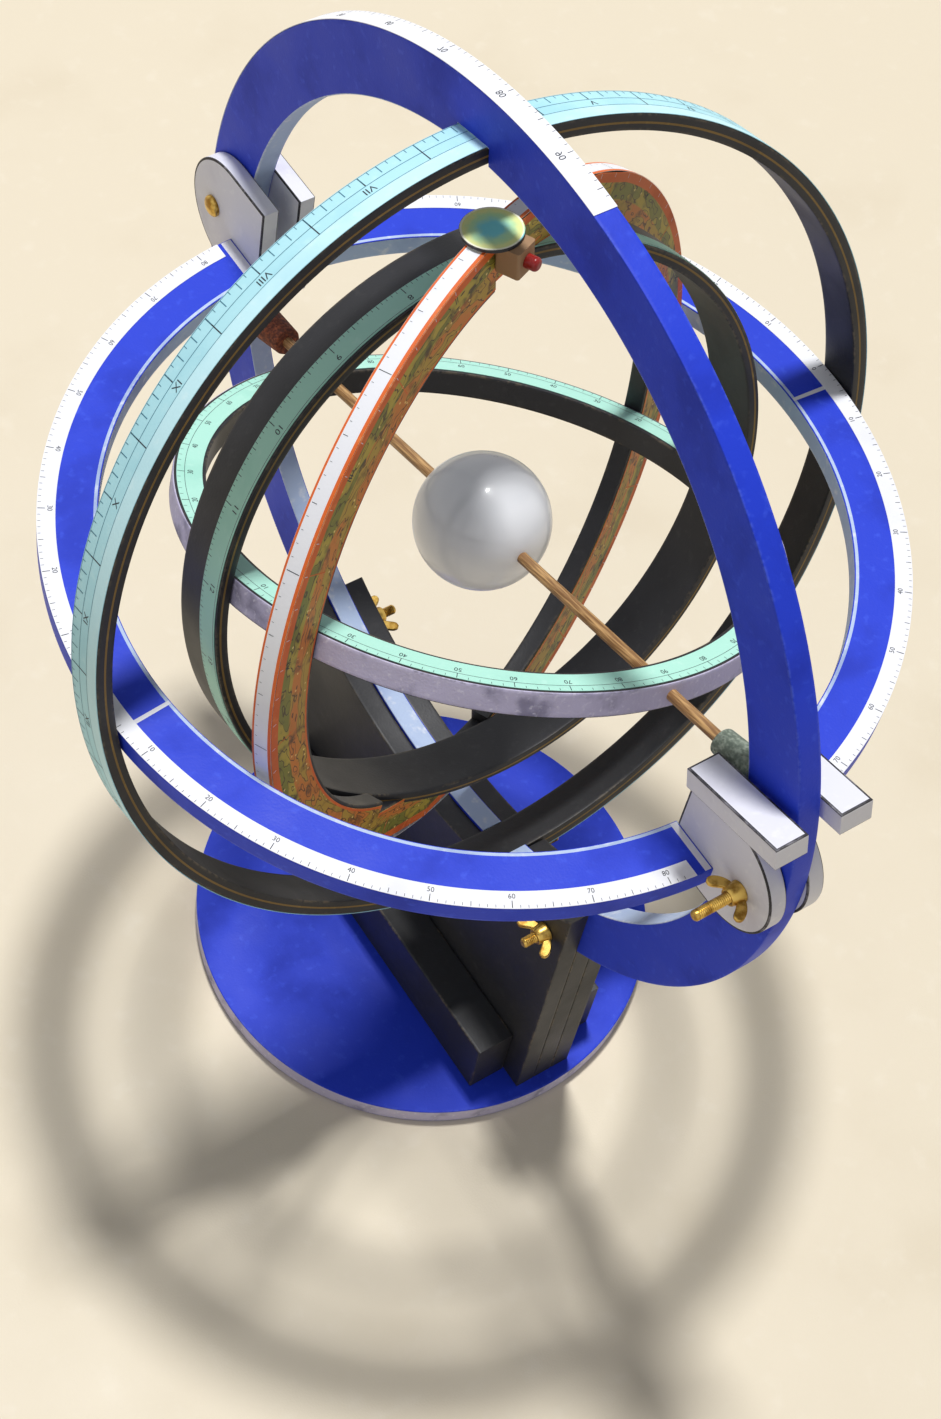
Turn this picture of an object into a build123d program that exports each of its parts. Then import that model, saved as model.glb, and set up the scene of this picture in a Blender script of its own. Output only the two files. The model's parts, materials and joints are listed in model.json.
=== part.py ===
from build123d import *
import math
import os

# Armillary sphere of painted board rings on a board pedestal, in millimetres.
# +Z is up, the origin is the centre of the base disc's underside, the raised pole leans towards -Y,
# and the meridian ring stands in the plane X = 0, with its west side at -X.

os.makedirs("parts", exist_ok=True)

# Boards, papers and fits
board = 10.5
bracket_board = 8.0
paper = 0.3
paste = 0.05
glue = 0.1
bolt_play = 0.2
rod_play = 0.06
nut_play = 0.08
slide_play = 0.3

# Where the rings' common centre stands, and how the pole and the sphere are turned
ring_foot_height = 104.5
ring_centre_offset = 18.5
pole_altitude = 16.0
sphere_turn = 15.34
obliquity = 23.4

# Fixed rings
sweep_play = 1.1
horizon_width = 25.5
meridian_width = 30.5
azimuth_scale_width = 7.9
azimuth_scale_margin = 21.0
hour_ring_gap = 0.4
hour_ring_thickness = 7.6
hour_ring_width = 20.0

# Base and pedestal
base_radius = 118.0
base_margin = 7.0
cradle_play = 2.0
block_setback = 12.0
block_thickness = 20.5
block_height = 38.0

# Brackets that hold the horizon ring to the meridian ring
bracket_radius = 30.0
bracket_height = 7.5
bracket_setback = 0.5
bracket_reach = 3.0
bracket_bolt_height = 6.5

# Bolts, heads and wing nuts
bolt_radius = 2.5
horizon_bolt_lengths = {"north": 40.0, "south": 50.0}
pedestal_bolt_length = 45.0
low_bolt_angle = 3.3
end_bolt_margin = 12.5
head_radius = 5.2
head_height = 3.4
head_edge = 1.0
bolt_point = 0.6
hub_base_radius = 5.0
hub_top_radius = 4.0
hub_height = 6.5
wing_span = 12.5
wing_rise = 12.0
wing_thickness = 1.8
wing_tip_radius = 2.0
hex_nut_width = 8.0
hex_nut_height = 4.0

# Polar rod, its bearings and the ball
rod_radius = 2.6
rod_in_ring = 12.0
rod_end_gap = 0.3
cork_floor = 2.0
pivot_block_length = 22.5
pivot_block_half_width = 7.8
pivot_block_half_depth = 6.0
pivot_bar_inside = 14.6
pivot_bar_outside = 9.0
pivot_bar_width = 15.4
pivot_bar_half_depth = 5.3
cork_radius = 8.5
cork_tip_radius = 6.5
cork_length = 28.0
ball_radius = 30.0

# Turning rings of the sphere
colure_inner_radius = 119.2
colure_width = 14.1
colure_thickness = 12.0
equator_thickness = 5.4
equator_half_width = 14.2
equator_scale_start = 1.5
equator_scale_end = 13.0
ecliptic_width = 25.1
ecliptic_thickness = 9.0
chart_margin = 1.6

# Sun marker on the ecliptic ring
sun_angle = 18.2
sun_radius = 12.8
sun_thickness = 1.6
clip_half_width = 6.0
clip_depth = 12.5
clip_height = 11.0
clip_corner = 1.2
sun_pin_depth = 8.0
sun_pin_radius = 0.6
sun_pin_head_radius = 3.0
sun_pin_head_height = 5.5

# Radii from the inside out: each ring is as large as the one inside it and its play need
colure_outer_radius = colure_inner_radius + colure_width
nest_radius = math.hypot(colure_outer_radius, colure_thickness / 2) + glue
equator_inner_radius = nest_radius
equator_outer_radius = equator_inner_radius + equator_thickness
ecliptic_inner_radius = nest_radius
ecliptic_outer_radius = ecliptic_inner_radius + ecliptic_width
sun_bed_radius = ecliptic_outer_radius + paste + paper + slide_play
sweep_radius = math.hypot(sun_bed_radius + sun_thickness, sun_radius)
horizon_inner_radius = sweep_radius + sweep_play
horizon_outer_radius = horizon_inner_radius + horizon_width
meridian_inner_radius = horizon_outer_radius
meridian_outer_radius = meridian_inner_radius + meridian_width
meridian_middle_radius = (meridian_inner_radius + meridian_outer_radius) / 2
azimuth_scale_radius = horizon_outer_radius - azimuth_scale_width
hour_inner_radius = horizon_outer_radius + hour_ring_gap
hour_outer_radius = hour_inner_radius + hour_ring_thickness
noon_scale_end = 90.0 - pole_altitude + obliquity

# Lengths that follow from the radii
ring_centre_height = ring_foot_height + meridian_outer_radius
rod_upper_end = meridian_inner_radius + rod_in_ring
rod_lower_end = meridian_inner_radius - cork_floor
pivot_block_start = meridian_inner_radius - pivot_block_length
pivot_bar_start = meridian_inner_radius - pivot_bar_inside
pivot_bar_end = meridian_outer_radius + pivot_bar_outside
cork_start = meridian_inner_radius - cork_length
bracket_inner_edge = horizon_inner_radius + bracket_setback
bracket_round_centre = meridian_inner_radius + bracket_reach
cradle_half_length = base_radius - base_margin
block_half_length = cradle_half_length - block_setback
cradle_radius = meridian_inner_radius + cradle_play
cheek_inner = board / 2 + glue
cheek_outer = cheek_inner + board
bracket_outer = board / 2 + glue + bracket_board
horizon_end = bracket_outer + glue
clip_start = ecliptic_thickness / 2 + paper + slide_play
bolt_hole_radius = bolt_radius + bolt_play
rod_hole_radius = rod_radius + rod_play

# Directions and planes, from the ring centre
centre = Vector(0, ring_centre_offset, ring_centre_height)
east = Vector(1, 0, 0)
pole = Vector(0, -math.cos(math.radians(pole_altitude)), math.sin(math.radians(pole_altitude)))
upright = pole.cross(east)
turn = math.radians(sphere_turn)
solstice = east * math.cos(turn) - upright * math.sin(turn)
equinox = upright * math.cos(turn) + east * math.sin(turn)
tilt = math.radians(obliquity)
ecliptic_axis = pole * math.cos(tilt) + solstice * math.sin(tilt)

meridian_plane = Plane(origin=centre, x_dir=(0, 1, 0), z_dir=east)
horizon_plane = Plane(origin=centre)
polar_plane = Plane(origin=centre, x_dir=east, z_dir=pole)
sphere_plane = Plane(origin=centre, x_dir=solstice, z_dir=pole)
colure_plane = Plane(origin=centre, x_dir=pole, z_dir=equinox)
ecliptic_plane = Plane(origin=centre, x_dir=equinox, z_dir=ecliptic_axis)


def meridian_point(angle, radius):
    """Point on the meridian ring's plane, angle in degrees from +Y towards +Z."""
    turned = math.radians(angle)
    return (radius * math.cos(turned), radius * math.sin(turned))


def pedestal_bolt_angle(reach):
    """Angle from the meridian ring's lowest point to a bolt that stands this far out along Y."""
    return math.degrees(math.asin(reach / meridian_middle_radius))


south_high_angle = pedestal_bolt_angle(cradle_half_length + ring_centre_offset - end_bolt_margin)
north_angle = pedestal_bolt_angle(cradle_half_length - ring_centre_offset - end_bolt_margin)
pedestal_bolt_points = [
    meridian_point(-90 - pole_altitude - low_bolt_angle, meridian_middle_radius),
    meridian_point(-90 - south_high_angle, meridian_middle_radius),
    meridian_point(-90 + north_angle, meridian_middle_radius),
]
bracket_bolt_reach = math.sqrt(meridian_middle_radius**2 - bracket_bolt_height**2)
bracket_bolt_points = {
    "north": (bracket_bolt_reach, bracket_bolt_height),
    "south": (-bracket_bolt_reach, bracket_bolt_height),
}


def finish(piece, name):
    """Labels a finished piece and writes it under its own name."""
    piece.part.label = name
    export_step(piece.part, f"parts/{name}.step")


# Base disc
with BuildPart() as base_disc:
    with BuildSketch(Plane.XY):
        Circle(base_radius)
    extrude(amount=board)
finish(base_disc, "base_disc")

# Pedestal core, the board that stands under the meridian ring's outer edge
cradle_top = ring_centre_height
with BuildPart() as pedestal_core:
    with BuildSketch(Plane.YZ.offset(-board / 2)):
        with Locations((0, (board + glue + cradle_top) / 2)):
            Rectangle(2 * cradle_half_length, cradle_top - board - glue)
        with Locations((ring_centre_offset, ring_centre_height)):
            Circle(meridian_outer_radius + glue, mode=Mode.SUBTRACT)
    extrude(amount=board)
finish(pedestal_core, "pedestal_core")

# Pedestal cheeks, on both sides of the core and of the meridian ring's lowest part
for side, sign in (("west", -1), ("east", 1)):
    inner_face = cheek_inner if sign > 0 else -cheek_outer
    with BuildPart() as pedestal_cheek:
        with BuildSketch(Plane.YZ.offset(inner_face)):
            with Locations((0, (board + glue + cradle_top) / 2)):
                Rectangle(2 * cradle_half_length, cradle_top - board - glue)
            with Locations((ring_centre_offset, ring_centre_height)):
                Circle(cradle_radius, mode=Mode.SUBTRACT)
        extrude(amount=board)
        with BuildSketch(meridian_plane.offset(-cheek_outer)):
            with Locations(*pedestal_bolt_points):
                Circle(bolt_hole_radius)
        extrude(amount=2 * cheek_outer, mode=Mode.SUBTRACT)
        with BuildSketch(polar_plane.offset(-cradle_play / 2)):
            Circle(hour_outer_radius + cradle_play)
        extrude(amount=hour_ring_width + cradle_play, mode=Mode.SUBTRACT)
    finish(pedestal_cheek, f"pedestal_cheek_{side}")

# Pedestal blocks, low thick boards against the cheeks
for side, sign in (("west", -1), ("east", 1)):
    near_face = cheek_outer + glue
    start = near_face if sign > 0 else -near_face - block_thickness
    with BuildPart() as pedestal_block:
        with BuildSketch(Plane.YZ.offset(start)):
            with Locations((0, board + glue + block_height / 2)):
                Rectangle(2 * block_half_length, block_height)
        extrude(amount=block_thickness)
    finish(pedestal_block, f"pedestal_block_{side}")

# Meridian ring, notched on its inner edge for the hour ring, with a blind hole for the rod
with BuildPart() as meridian_ring:
    with BuildSketch(meridian_plane.offset(-board / 2)):
        Circle(meridian_outer_radius)
        Circle(meridian_inner_radius, mode=Mode.SUBTRACT)
        with Locations(*pedestal_bolt_points, *bracket_bolt_points.values()):
            Circle(bolt_hole_radius, mode=Mode.SUBTRACT)
    extrude(amount=board)
    with BuildSketch(polar_plane.offset(-glue)):
        Circle(hour_outer_radius + glue)
    extrude(amount=hour_ring_width + 2 * glue, mode=Mode.SUBTRACT)
    with BuildSketch(polar_plane):
        Circle(rod_hole_radius)
    extrude(amount=rod_upper_end + rod_end_gap, mode=Mode.SUBTRACT)
finish(meridian_ring, "meridian_ring")

# Noon altitude scale, a paper strip on the meridian ring's outer edge
with BuildPart() as meridian_scale:
    strip_outer = meridian_outer_radius + paste + paper
    far = 2 * strip_outer
    end = math.radians(noon_scale_end)
    with BuildSketch(meridian_plane.offset(-board / 2)):
        Circle(strip_outer)
        Circle(meridian_outer_radius + paste, mode=Mode.SUBTRACT)
        with BuildLine():
            Polyline(
                (0, 0),
                (far, 0),
                (far, far),
                (far * math.cos(end), far * math.sin(end)),
                close=True,
            )
        make_face(mode=Mode.INTERSECT)
    extrude(amount=board)
finish(meridian_scale, "meridian_scale")

# Horizon ring and its azimuth scale, each in a west and an east half
for side, sign in (("west", -1), ("east", 1)):
    keep = Keep.TOP if sign > 0 else Keep.BOTTOM
    with BuildPart() as horizon_half:
        with BuildSketch(horizon_plane.offset(-board)):
            Circle(horizon_outer_radius)
            Circle(horizon_inner_radius, mode=Mode.SUBTRACT)
        extrude(amount=board)
        split(bisect_by=Plane.YZ.offset(sign * horizon_end), keep=keep)
    finish(horizon_half, f"horizon_ring_{side}")
    with BuildPart() as azimuth_scale:
        with BuildSketch(horizon_plane):
            Circle(horizon_outer_radius)
            Circle(azimuth_scale_radius, mode=Mode.SUBTRACT)
        extrude(amount=paper)
        split(bisect_by=Plane.YZ.offset(sign * azimuth_scale_margin), keep=keep)
    finish(azimuth_scale, f"horizon_scale_{side}")

# Horizon brackets, clamped in pairs on the meridian ring, each a plate with one round end
for end_name, end_sign in (("north", 1), ("south", -1)):
    for side, sign in (("west", -1), ("east", 1)):
        start = board / 2 + glue if sign > 0 else -bracket_outer
        plate_length = bracket_round_centre - bracket_inner_edge
        with BuildPart() as bracket:
            with BuildSketch(meridian_plane.offset(start)):
                with Locations((end_sign * bracket_round_centre, bracket_height)):
                    Circle(bracket_radius)
                with Locations((end_sign * (bracket_round_centre - bracket_radius), bracket_height)):
                    Rectangle(2 * bracket_radius, 2 * bracket_radius, mode=Mode.SUBTRACT)
                with Locations((end_sign * (bracket_inner_edge + plate_length / 2), bracket_height)):
                    Rectangle(plate_length, 2 * bracket_radius)
                with Locations(bracket_bolt_points[end_name]):
                    Circle(bolt_hole_radius, mode=Mode.SUBTRACT)
            extrude(amount=bracket_board)
        finish(bracket, f"horizon_bracket_{end_name}_{side}")

# Hour ring, half lapped through the meridian ring and the cradle, just outside the horizon ring
with BuildPart() as hour_ring:
    with BuildSketch(polar_plane):
        Circle(hour_outer_radius - paper - paste)
        Circle(hour_inner_radius, mode=Mode.SUBTRACT)
    extrude(amount=hour_ring_width)
finish(hour_ring, "hour_ring")

# Hour scale, a paper strip round the hour ring's outer edge
with BuildPart() as hour_scale:
    with BuildSketch(polar_plane):
        Circle(hour_outer_radius)
        Circle(hour_outer_radius - paper, mode=Mode.SUBTRACT)
    extrude(amount=hour_ring_width)
finish(hour_scale, "hour_scale")


def threaded_bolt(plane, length):
    """Domed bolt whose head seats on the plane and whose shank runs along the plane's normal."""
    with BuildPart() as bolt:
        with BuildSketch(Plane(origin=plane.origin, x_dir=plane.x_dir, z_dir=plane.y_dir)):
            with BuildLine():
                TangentArc((0, head_height), (head_radius, head_edge), tangent=(1, 0))
                Polyline(
                    (head_radius, head_edge),
                    (head_radius, 0),
                    (bolt_radius, 0),
                    (bolt_radius, bolt_point - length),
                    (bolt_radius - bolt_point, -length),
                    (0, -length),
                    (0, head_height),
                )
            make_face()
        revolve(axis=Axis(plane.origin, plane.z_dir))
    return bolt


def wing_nut(plane):
    """Wing nut whose hub seats on the plane, with two rounded wings that lean out and up."""
    side_plane = Plane(origin=plane.origin, x_dir=plane.x_dir, z_dir=plane.y_dir)
    with BuildPart() as nut:
        with BuildSketch(side_plane):
            with BuildLine():
                Polyline(
                    (0, 0),
                    (hub_base_radius, 0),
                    (hub_top_radius, -hub_height),
                    (0, -hub_height),
                    close=True,
                )
            make_face()
        revolve(axis=Axis(plane.origin, plane.z_dir))
        with BuildSketch(side_plane.offset(-wing_thickness / 2)):
            for hand in (-1, 1):
                with BuildLine():
                    outline = Polyline(
                        (0, -hub_height * 0.2),
                        (hand * hub_base_radius, -hub_height * 0.25),
                        (hand * wing_span, -wing_rise * 0.62),
                        (hand * wing_span * 0.86, -wing_rise),
                        (hand * hub_base_radius * 1.1, -hub_height * 0.92),
                        (0, -hub_height * 0.8),
                        close=True,
                    )
                    fillet(outline.vertices().sort_by_distance((hand * wing_span, -wing_rise))[:2], wing_tip_radius)
                make_face()
        extrude(amount=wing_thickness)
        with BuildSketch(plane):
            Circle(bolt_radius + nut_play)
        extrude(amount=wing_rise, both=True, mode=Mode.SUBTRACT)
    return nut


def hex_nut(plane):
    """Plain hexagonal nut that seats on the plane, where a wing nut couldn't turn past the hour ring."""
    with BuildPart() as nut:
        with BuildSketch(plane):
            RegularPolygon(hex_nut_width / 2, 6, major_radius=False)
            Circle(bolt_radius + nut_play, mode=Mode.SUBTRACT)
        extrude(amount=hex_nut_height)
    return nut


def seat_plane(point, x, outward):
    """Plane on a board's face at a point of the meridian plane, facing +X or -X."""
    place = centre + Vector(x, point[0], point[1])
    return Plane(origin=place, x_dir=(0, 1, 0), z_dir=(outward, 0, 0))


# Horizon bolts and their wing nuts, heads to the west in the north and to the east in the south
for end_name, head_side in (("north", -1), ("south", 1)):
    point = bracket_bolt_points[end_name]
    head_plane = seat_plane(point, head_side * bracket_outer, -head_side)
    horizon_bolt = threaded_bolt(head_plane, horizon_bolt_lengths[end_name])
    finish(horizon_bolt, f"horizon_bolt_{end_name}")
    horizon_nut = wing_nut(seat_plane(point, -head_side * bracket_outer, -head_side))
    finish(horizon_nut, f"wing_nut_horizon_{end_name}")

# Pedestal bolts: the low one passes under the hour ring and has a plain nut, the others wing nuts
for place_name, point, head_side in (
    ("south_low", pedestal_bolt_points[0], -1),
    ("south_high", pedestal_bolt_points[1], 1),
    ("north", pedestal_bolt_points[2], -1),
):
    head_plane = seat_plane(point, head_side * cheek_outer, -head_side)
    pedestal_bolt = threaded_bolt(head_plane, pedestal_bolt_length)
    finish(pedestal_bolt, f"pedestal_bolt_{place_name}")
    nut_plane = seat_plane(point, -head_side * cheek_outer, -head_side)
    if place_name == "south_low":
        finish(hex_nut(nut_plane), f"hex_nut_pedestal_{place_name}")
    else:
        finish(wing_nut(nut_plane), f"wing_nut_pedestal_{place_name}")

# Upper pivot: a drilled block inside the meridian ring and two bars that straddle the ring
with BuildPart() as pivot_block:
    with BuildSketch(polar_plane.offset(pivot_block_start)):
        Rectangle(2 * pivot_block_half_width, 2 * pivot_block_half_depth)
    extrude(amount=meridian_outer_radius - pivot_block_start)
    with BuildSketch(meridian_plane):
        Circle(meridian_inner_radius - glue)
    extrude(amount=pivot_block_half_width, both=True, mode=Mode.INTERSECT)
    with BuildSketch(polar_plane):
        Circle(rod_hole_radius)
    extrude(amount=meridian_outer_radius, mode=Mode.SUBTRACT)
finish(pivot_block, "pivot_block")

for side, sign in (("west", -1), ("east", 1)):
    bar_middle = pivot_block_half_width + glue + pivot_bar_width / 2
    with BuildPart() as pivot_bar:
        with BuildSketch(polar_plane.offset(pivot_bar_start)):
            with Locations((sign * bar_middle, 0)):
                Rectangle(pivot_bar_width, 2 * pivot_bar_half_depth)
        extrude(amount=pivot_bar_end - pivot_bar_start)
    finish(pivot_bar, f"pivot_bar_{side}")

# Lower pivot: a cork drilled for the rod, seated on the meridian ring's inner edge
with BuildPart() as pivot_cork:
    with BuildSketch(Plane(origin=centre, x_dir=east, z_dir=-upright)):
        with BuildLine():
            Polyline(
                (0, -cork_start),
                (cork_tip_radius, -cork_start),
                (cork_radius, -meridian_inner_radius),
                (0, -meridian_inner_radius),
                close=True,
            )
        make_face()
    revolve(axis=Axis(centre, pole))
    with BuildSketch(meridian_plane):
        Circle(meridian_inner_radius - glue)
    extrude(amount=cork_radius, both=True, mode=Mode.INTERSECT)
    with BuildSketch(polar_plane):
        Circle(rod_hole_radius)
    extrude(amount=-meridian_outer_radius, mode=Mode.SUBTRACT)
finish(pivot_cork, "pivot_cork")

# Polar rod
with BuildPart() as polar_rod:
    with BuildSketch(polar_plane.offset(-rod_lower_end)):
        Circle(rod_radius)
    extrude(amount=rod_lower_end + rod_upper_end)
finish(polar_rod, "polar_rod")

# Ball at the middle of the rod
with BuildPart() as ball:
    with Locations(centre):
        Sphere(ball_radius)
    with BuildSketch(polar_plane):
        Circle(rod_hole_radius)
    extrude(amount=ball_radius, both=True, mode=Mode.SUBTRACT)
finish(ball, "ball")

# Colure ring, drilled at both poles for the rod
with BuildPart() as colure_ring:
    with BuildSketch(colure_plane):
        Circle(colure_outer_radius)
        Circle(colure_inner_radius, mode=Mode.SUBTRACT)
    extrude(amount=colure_thickness / 2, both=True)
    with BuildSketch(polar_plane):
        Circle(rod_hole_radius)
    extrude(amount=ecliptic_outer_radius, both=True, mode=Mode.SUBTRACT)
finish(colure_ring, "colure_ring")

# Colure scale, a paper ring on the colure ring's face
with BuildPart() as colure_scale:
    with BuildSketch(colure_plane.offset(colure_thickness / 2)):
        Circle(colure_outer_radius - chart_margin)
        Circle(colure_inner_radius + chart_margin, mode=Mode.SUBTRACT)
    extrude(amount=paper)
finish(colure_scale, "colure_scale")

# Equator ring, a band round the colure ring, with a paper scale on its pole side
with BuildPart() as equator_ring:
    with BuildSketch(sphere_plane):
        Circle(equator_outer_radius)
        Circle(equator_inner_radius, mode=Mode.SUBTRACT)
    extrude(amount=equator_half_width, both=True)
finish(equator_ring, "equator_ring")

with BuildPart() as equator_scale:
    with BuildSketch(sphere_plane.offset(equator_scale_start)):
        Circle(equator_outer_radius + paste + paper)
        Circle(equator_outer_radius + paste, mode=Mode.SUBTRACT)
    extrude(amount=equator_scale_end - equator_scale_start)
finish(equator_scale, "equator_scale")

# Room that the ecliptic pieces leave where they pass round the equator ring and its scale
with BuildPart() as equator_relief:
    with BuildSketch(sphere_plane):
        Circle(equator_outer_radius + paste + paper + glue)
    extrude(amount=equator_half_width + glue, both=True)

# Ecliptic ring, its chart on the pole side and the paper strip round its outer edge
with BuildPart() as ecliptic_ring:
    with BuildSketch(ecliptic_plane):
        Circle(ecliptic_outer_radius)
        Circle(ecliptic_inner_radius, mode=Mode.SUBTRACT)
    extrude(amount=ecliptic_thickness / 2, both=True)
    add(equator_relief.part, mode=Mode.SUBTRACT)
finish(ecliptic_ring, "ecliptic_ring")

with BuildPart() as ecliptic_chart:
    with BuildSketch(ecliptic_plane.offset(ecliptic_thickness / 2)):
        Circle(ecliptic_outer_radius)
        Circle(ecliptic_inner_radius + chart_margin, mode=Mode.SUBTRACT)
    extrude(amount=paper)
    add(equator_relief.part, mode=Mode.SUBTRACT)
finish(ecliptic_chart, "ecliptic_chart")

with BuildPart() as ecliptic_edge_strip:
    with BuildSketch(ecliptic_plane):
        Circle(ecliptic_outer_radius + paste + paper)
        Circle(ecliptic_outer_radius + paste, mode=Mode.SUBTRACT)
    extrude(amount=ecliptic_thickness / 2, both=True)
finish(ecliptic_edge_strip, "ecliptic_edge_strip")

# Sun marker: a disc on the ecliptic ring's edge, a clip block on its pole side and a headed pin
sun_turn = math.radians(sun_angle)
sun_direction = ecliptic_plane.x_dir * math.cos(sun_turn) + ecliptic_plane.y_dir * math.sin(sun_turn)
with BuildPart() as sun_disc:
    sun_place = centre + sun_direction * sun_bed_radius
    with BuildSketch(Plane(origin=sun_place, x_dir=ecliptic_axis, z_dir=sun_direction)):
        Circle(sun_radius)
    extrude(amount=sun_thickness)
finish(sun_disc, "sun_disc")

clip_floor = sun_bed_radius - glue - clip_depth
clip_top = clip_start + clip_height
pin_place = centre + sun_direction * (clip_floor + clip_depth / 2)
pin_plane = Plane(origin=pin_place, x_dir=sun_direction, z_dir=ecliptic_axis)
with BuildPart() as sun_clip:
    clip_place = centre + sun_direction * clip_floor
    with BuildSketch(Plane(origin=clip_place, x_dir=ecliptic_axis, z_dir=sun_direction)):
        with Locations((clip_start + clip_height / 2, 0)):
            RectangleRounded(clip_height, 2 * clip_half_width, clip_corner)
    extrude(amount=clip_depth)
    with BuildSketch(pin_plane.offset(clip_top)):
        Circle(sun_pin_radius + glue)
    extrude(amount=-sun_pin_depth - glue, mode=Mode.SUBTRACT)
finish(sun_clip, "sun_clip")

with BuildPart() as sun_pin:
    with BuildSketch(pin_plane.offset(clip_top - sun_pin_depth)):
        Circle(sun_pin_radius)
    extrude(amount=sun_pin_depth + sun_pin_head_height / 2)
    with BuildSketch(pin_plane.offset(clip_top + glue)):
        Circle(sun_pin_head_radius)
    extrude(amount=sun_pin_head_height)
    fillet(sun_pin.edges().sort_by(Axis(pin_place, ecliptic_axis))[-1], sun_pin_head_radius * 0.6)
finish(sun_pin, "sun_pin")
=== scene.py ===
import json
import logging
import math
from dataclasses import dataclass, field
from enum import Enum
from typing import Optional, Sequence

import bpy
import numpy as np
from mathutils import Matrix, Vector


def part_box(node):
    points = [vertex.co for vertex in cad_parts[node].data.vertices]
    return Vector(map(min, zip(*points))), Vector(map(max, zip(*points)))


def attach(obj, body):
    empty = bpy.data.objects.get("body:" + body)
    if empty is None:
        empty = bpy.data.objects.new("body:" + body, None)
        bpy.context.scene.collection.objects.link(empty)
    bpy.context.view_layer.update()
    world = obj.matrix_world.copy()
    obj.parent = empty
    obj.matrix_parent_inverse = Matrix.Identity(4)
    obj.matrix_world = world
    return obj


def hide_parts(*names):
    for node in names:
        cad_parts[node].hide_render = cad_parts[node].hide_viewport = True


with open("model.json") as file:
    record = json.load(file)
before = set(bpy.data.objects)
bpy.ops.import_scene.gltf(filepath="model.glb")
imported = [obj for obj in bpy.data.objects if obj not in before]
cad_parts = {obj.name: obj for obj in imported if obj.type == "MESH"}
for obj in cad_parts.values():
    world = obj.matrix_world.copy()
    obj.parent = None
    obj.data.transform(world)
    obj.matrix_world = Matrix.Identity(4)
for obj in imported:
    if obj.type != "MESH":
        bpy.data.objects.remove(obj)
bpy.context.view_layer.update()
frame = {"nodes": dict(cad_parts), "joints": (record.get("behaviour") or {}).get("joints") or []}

log = logging.getLogger("armillary_sphere")

MM = 0.001
LIFT = 0.06 * MM

Array = np.ndarray
Node = bpy.types.Node
Material = bpy.types.Material


def linear(red: int, green: int, blue: int) -> tuple[float, float, float, float]:
    """Turns a colour written as 0 to 255 screen values into the shader's linear values.

    Args:
        red: red from 0 to 255.
        green: green from 0 to 255.
        blue: blue from 0 to 255.

    Returns:
        The linear colour with full alpha.
    """
    channels = [value / 255 for value in (red, green, blue)]
    straight = [c / 12.92 if c <= 0.04045 else ((c + 0.055) / 1.055) ** 2.4 for c in channels]
    return (straight[0], straight[1], straight[2], 1.0)


# Where things are


@dataclass(frozen=True)
class Axes:
    """A ring's own axes: angles run from across towards along, heights run along the normal."""

    origin: Array
    across: Array
    along: Array
    normal: Array

    def polar(self, radius: Array, angle: Array, height: Array) -> Array:
        """Places points at origin + radius (cos a across + sin a along) + height normal."""
        radius, angle, height = np.broadcast_arrays(radius, angle, height)
        out = radius[..., None] * (np.cos(angle)[..., None] * self.across + np.sin(angle)[..., None] * self.along)
        return self.origin + out + height[..., None] * self.normal

    def flat(self, x: Array, y: Array, height: Array) -> Array:
        """Places points at origin + x across + y along + height normal."""
        x, y, height = np.broadcast_arrays(x, y, height)
        return self.origin + x[..., None] * self.across + y[..., None] * self.along + height[..., None] * self.normal

    def moved(self, x: float, y: float, height: float) -> "Axes":
        """Returns the same directions from an origin moved by x, y and height."""
        return Axes(self.flat(x, y, height), self.across, self.along, self.normal)


def unit(vector: Sequence[float]) -> Array:
    """Returns the vector at length one."""
    values = np.array(vector, dtype=float)
    return values / np.linalg.norm(values)


class Directions:
    """The instrument's directions at rest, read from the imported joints."""

    def __init__(self, joints: Sequence[dict]) -> None:
        """Reads the ring centre, the pole and the ecliptic's axis.

        Args:
            joints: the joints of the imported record.
        """
        named = {joint["name"]: joint for joint in joints}
        self.centre = np.array(named["sphere_turn"]["pos_m"], dtype=float)
        self.east = np.array([1.0, 0.0, 0.0])
        self.north = np.array([0.0, 1.0, 0.0])
        self.up = np.array([0.0, 0.0, 1.0])
        self.pole = unit(named["sphere_turn"]["axis"])
        self.upright = np.cross(self.pole, self.east)
        self.ecliptic_pole = unit(named["sun_along_ecliptic"]["axis"])
        self.solstice = unit(self.ecliptic_pole - self.ecliptic_pole.dot(self.pole) * self.pole)
        self.equinox = np.cross(self.pole, self.solstice)
        self.meridian = Axes(self.centre, self.north, self.up, self.east)
        self.horizon = Axes(self.centre, self.east, self.north, self.up)
        self.hours = Axes(self.centre, self.east, self.upright, self.pole)
        self.colure = Axes(self.centre, self.pole, self.solstice, self.equinox)
        self.equator = Axes(self.centre, self.solstice, self.equinox, self.pole)
        beside = np.cross(self.ecliptic_pole, self.equinox)
        self.ecliptic = Axes(self.centre, self.equinox, beside, self.ecliptic_pole)
        self.bars = Axes(self.centre, self.east, self.pole, -self.upright)
        self.ground = Axes(np.zeros(3), self.east, self.north, self.up)
        self.pole_tilt = math.atan2(self.pole[2], -self.pole[1])


# Meshes


@dataclass
class Patch:
    """A stretch of surface: points, faces, and for each face its finish and its corners' UV."""

    points: Array
    faces: list
    finish: list
    corner_uv: list
    edge: Array


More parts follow.
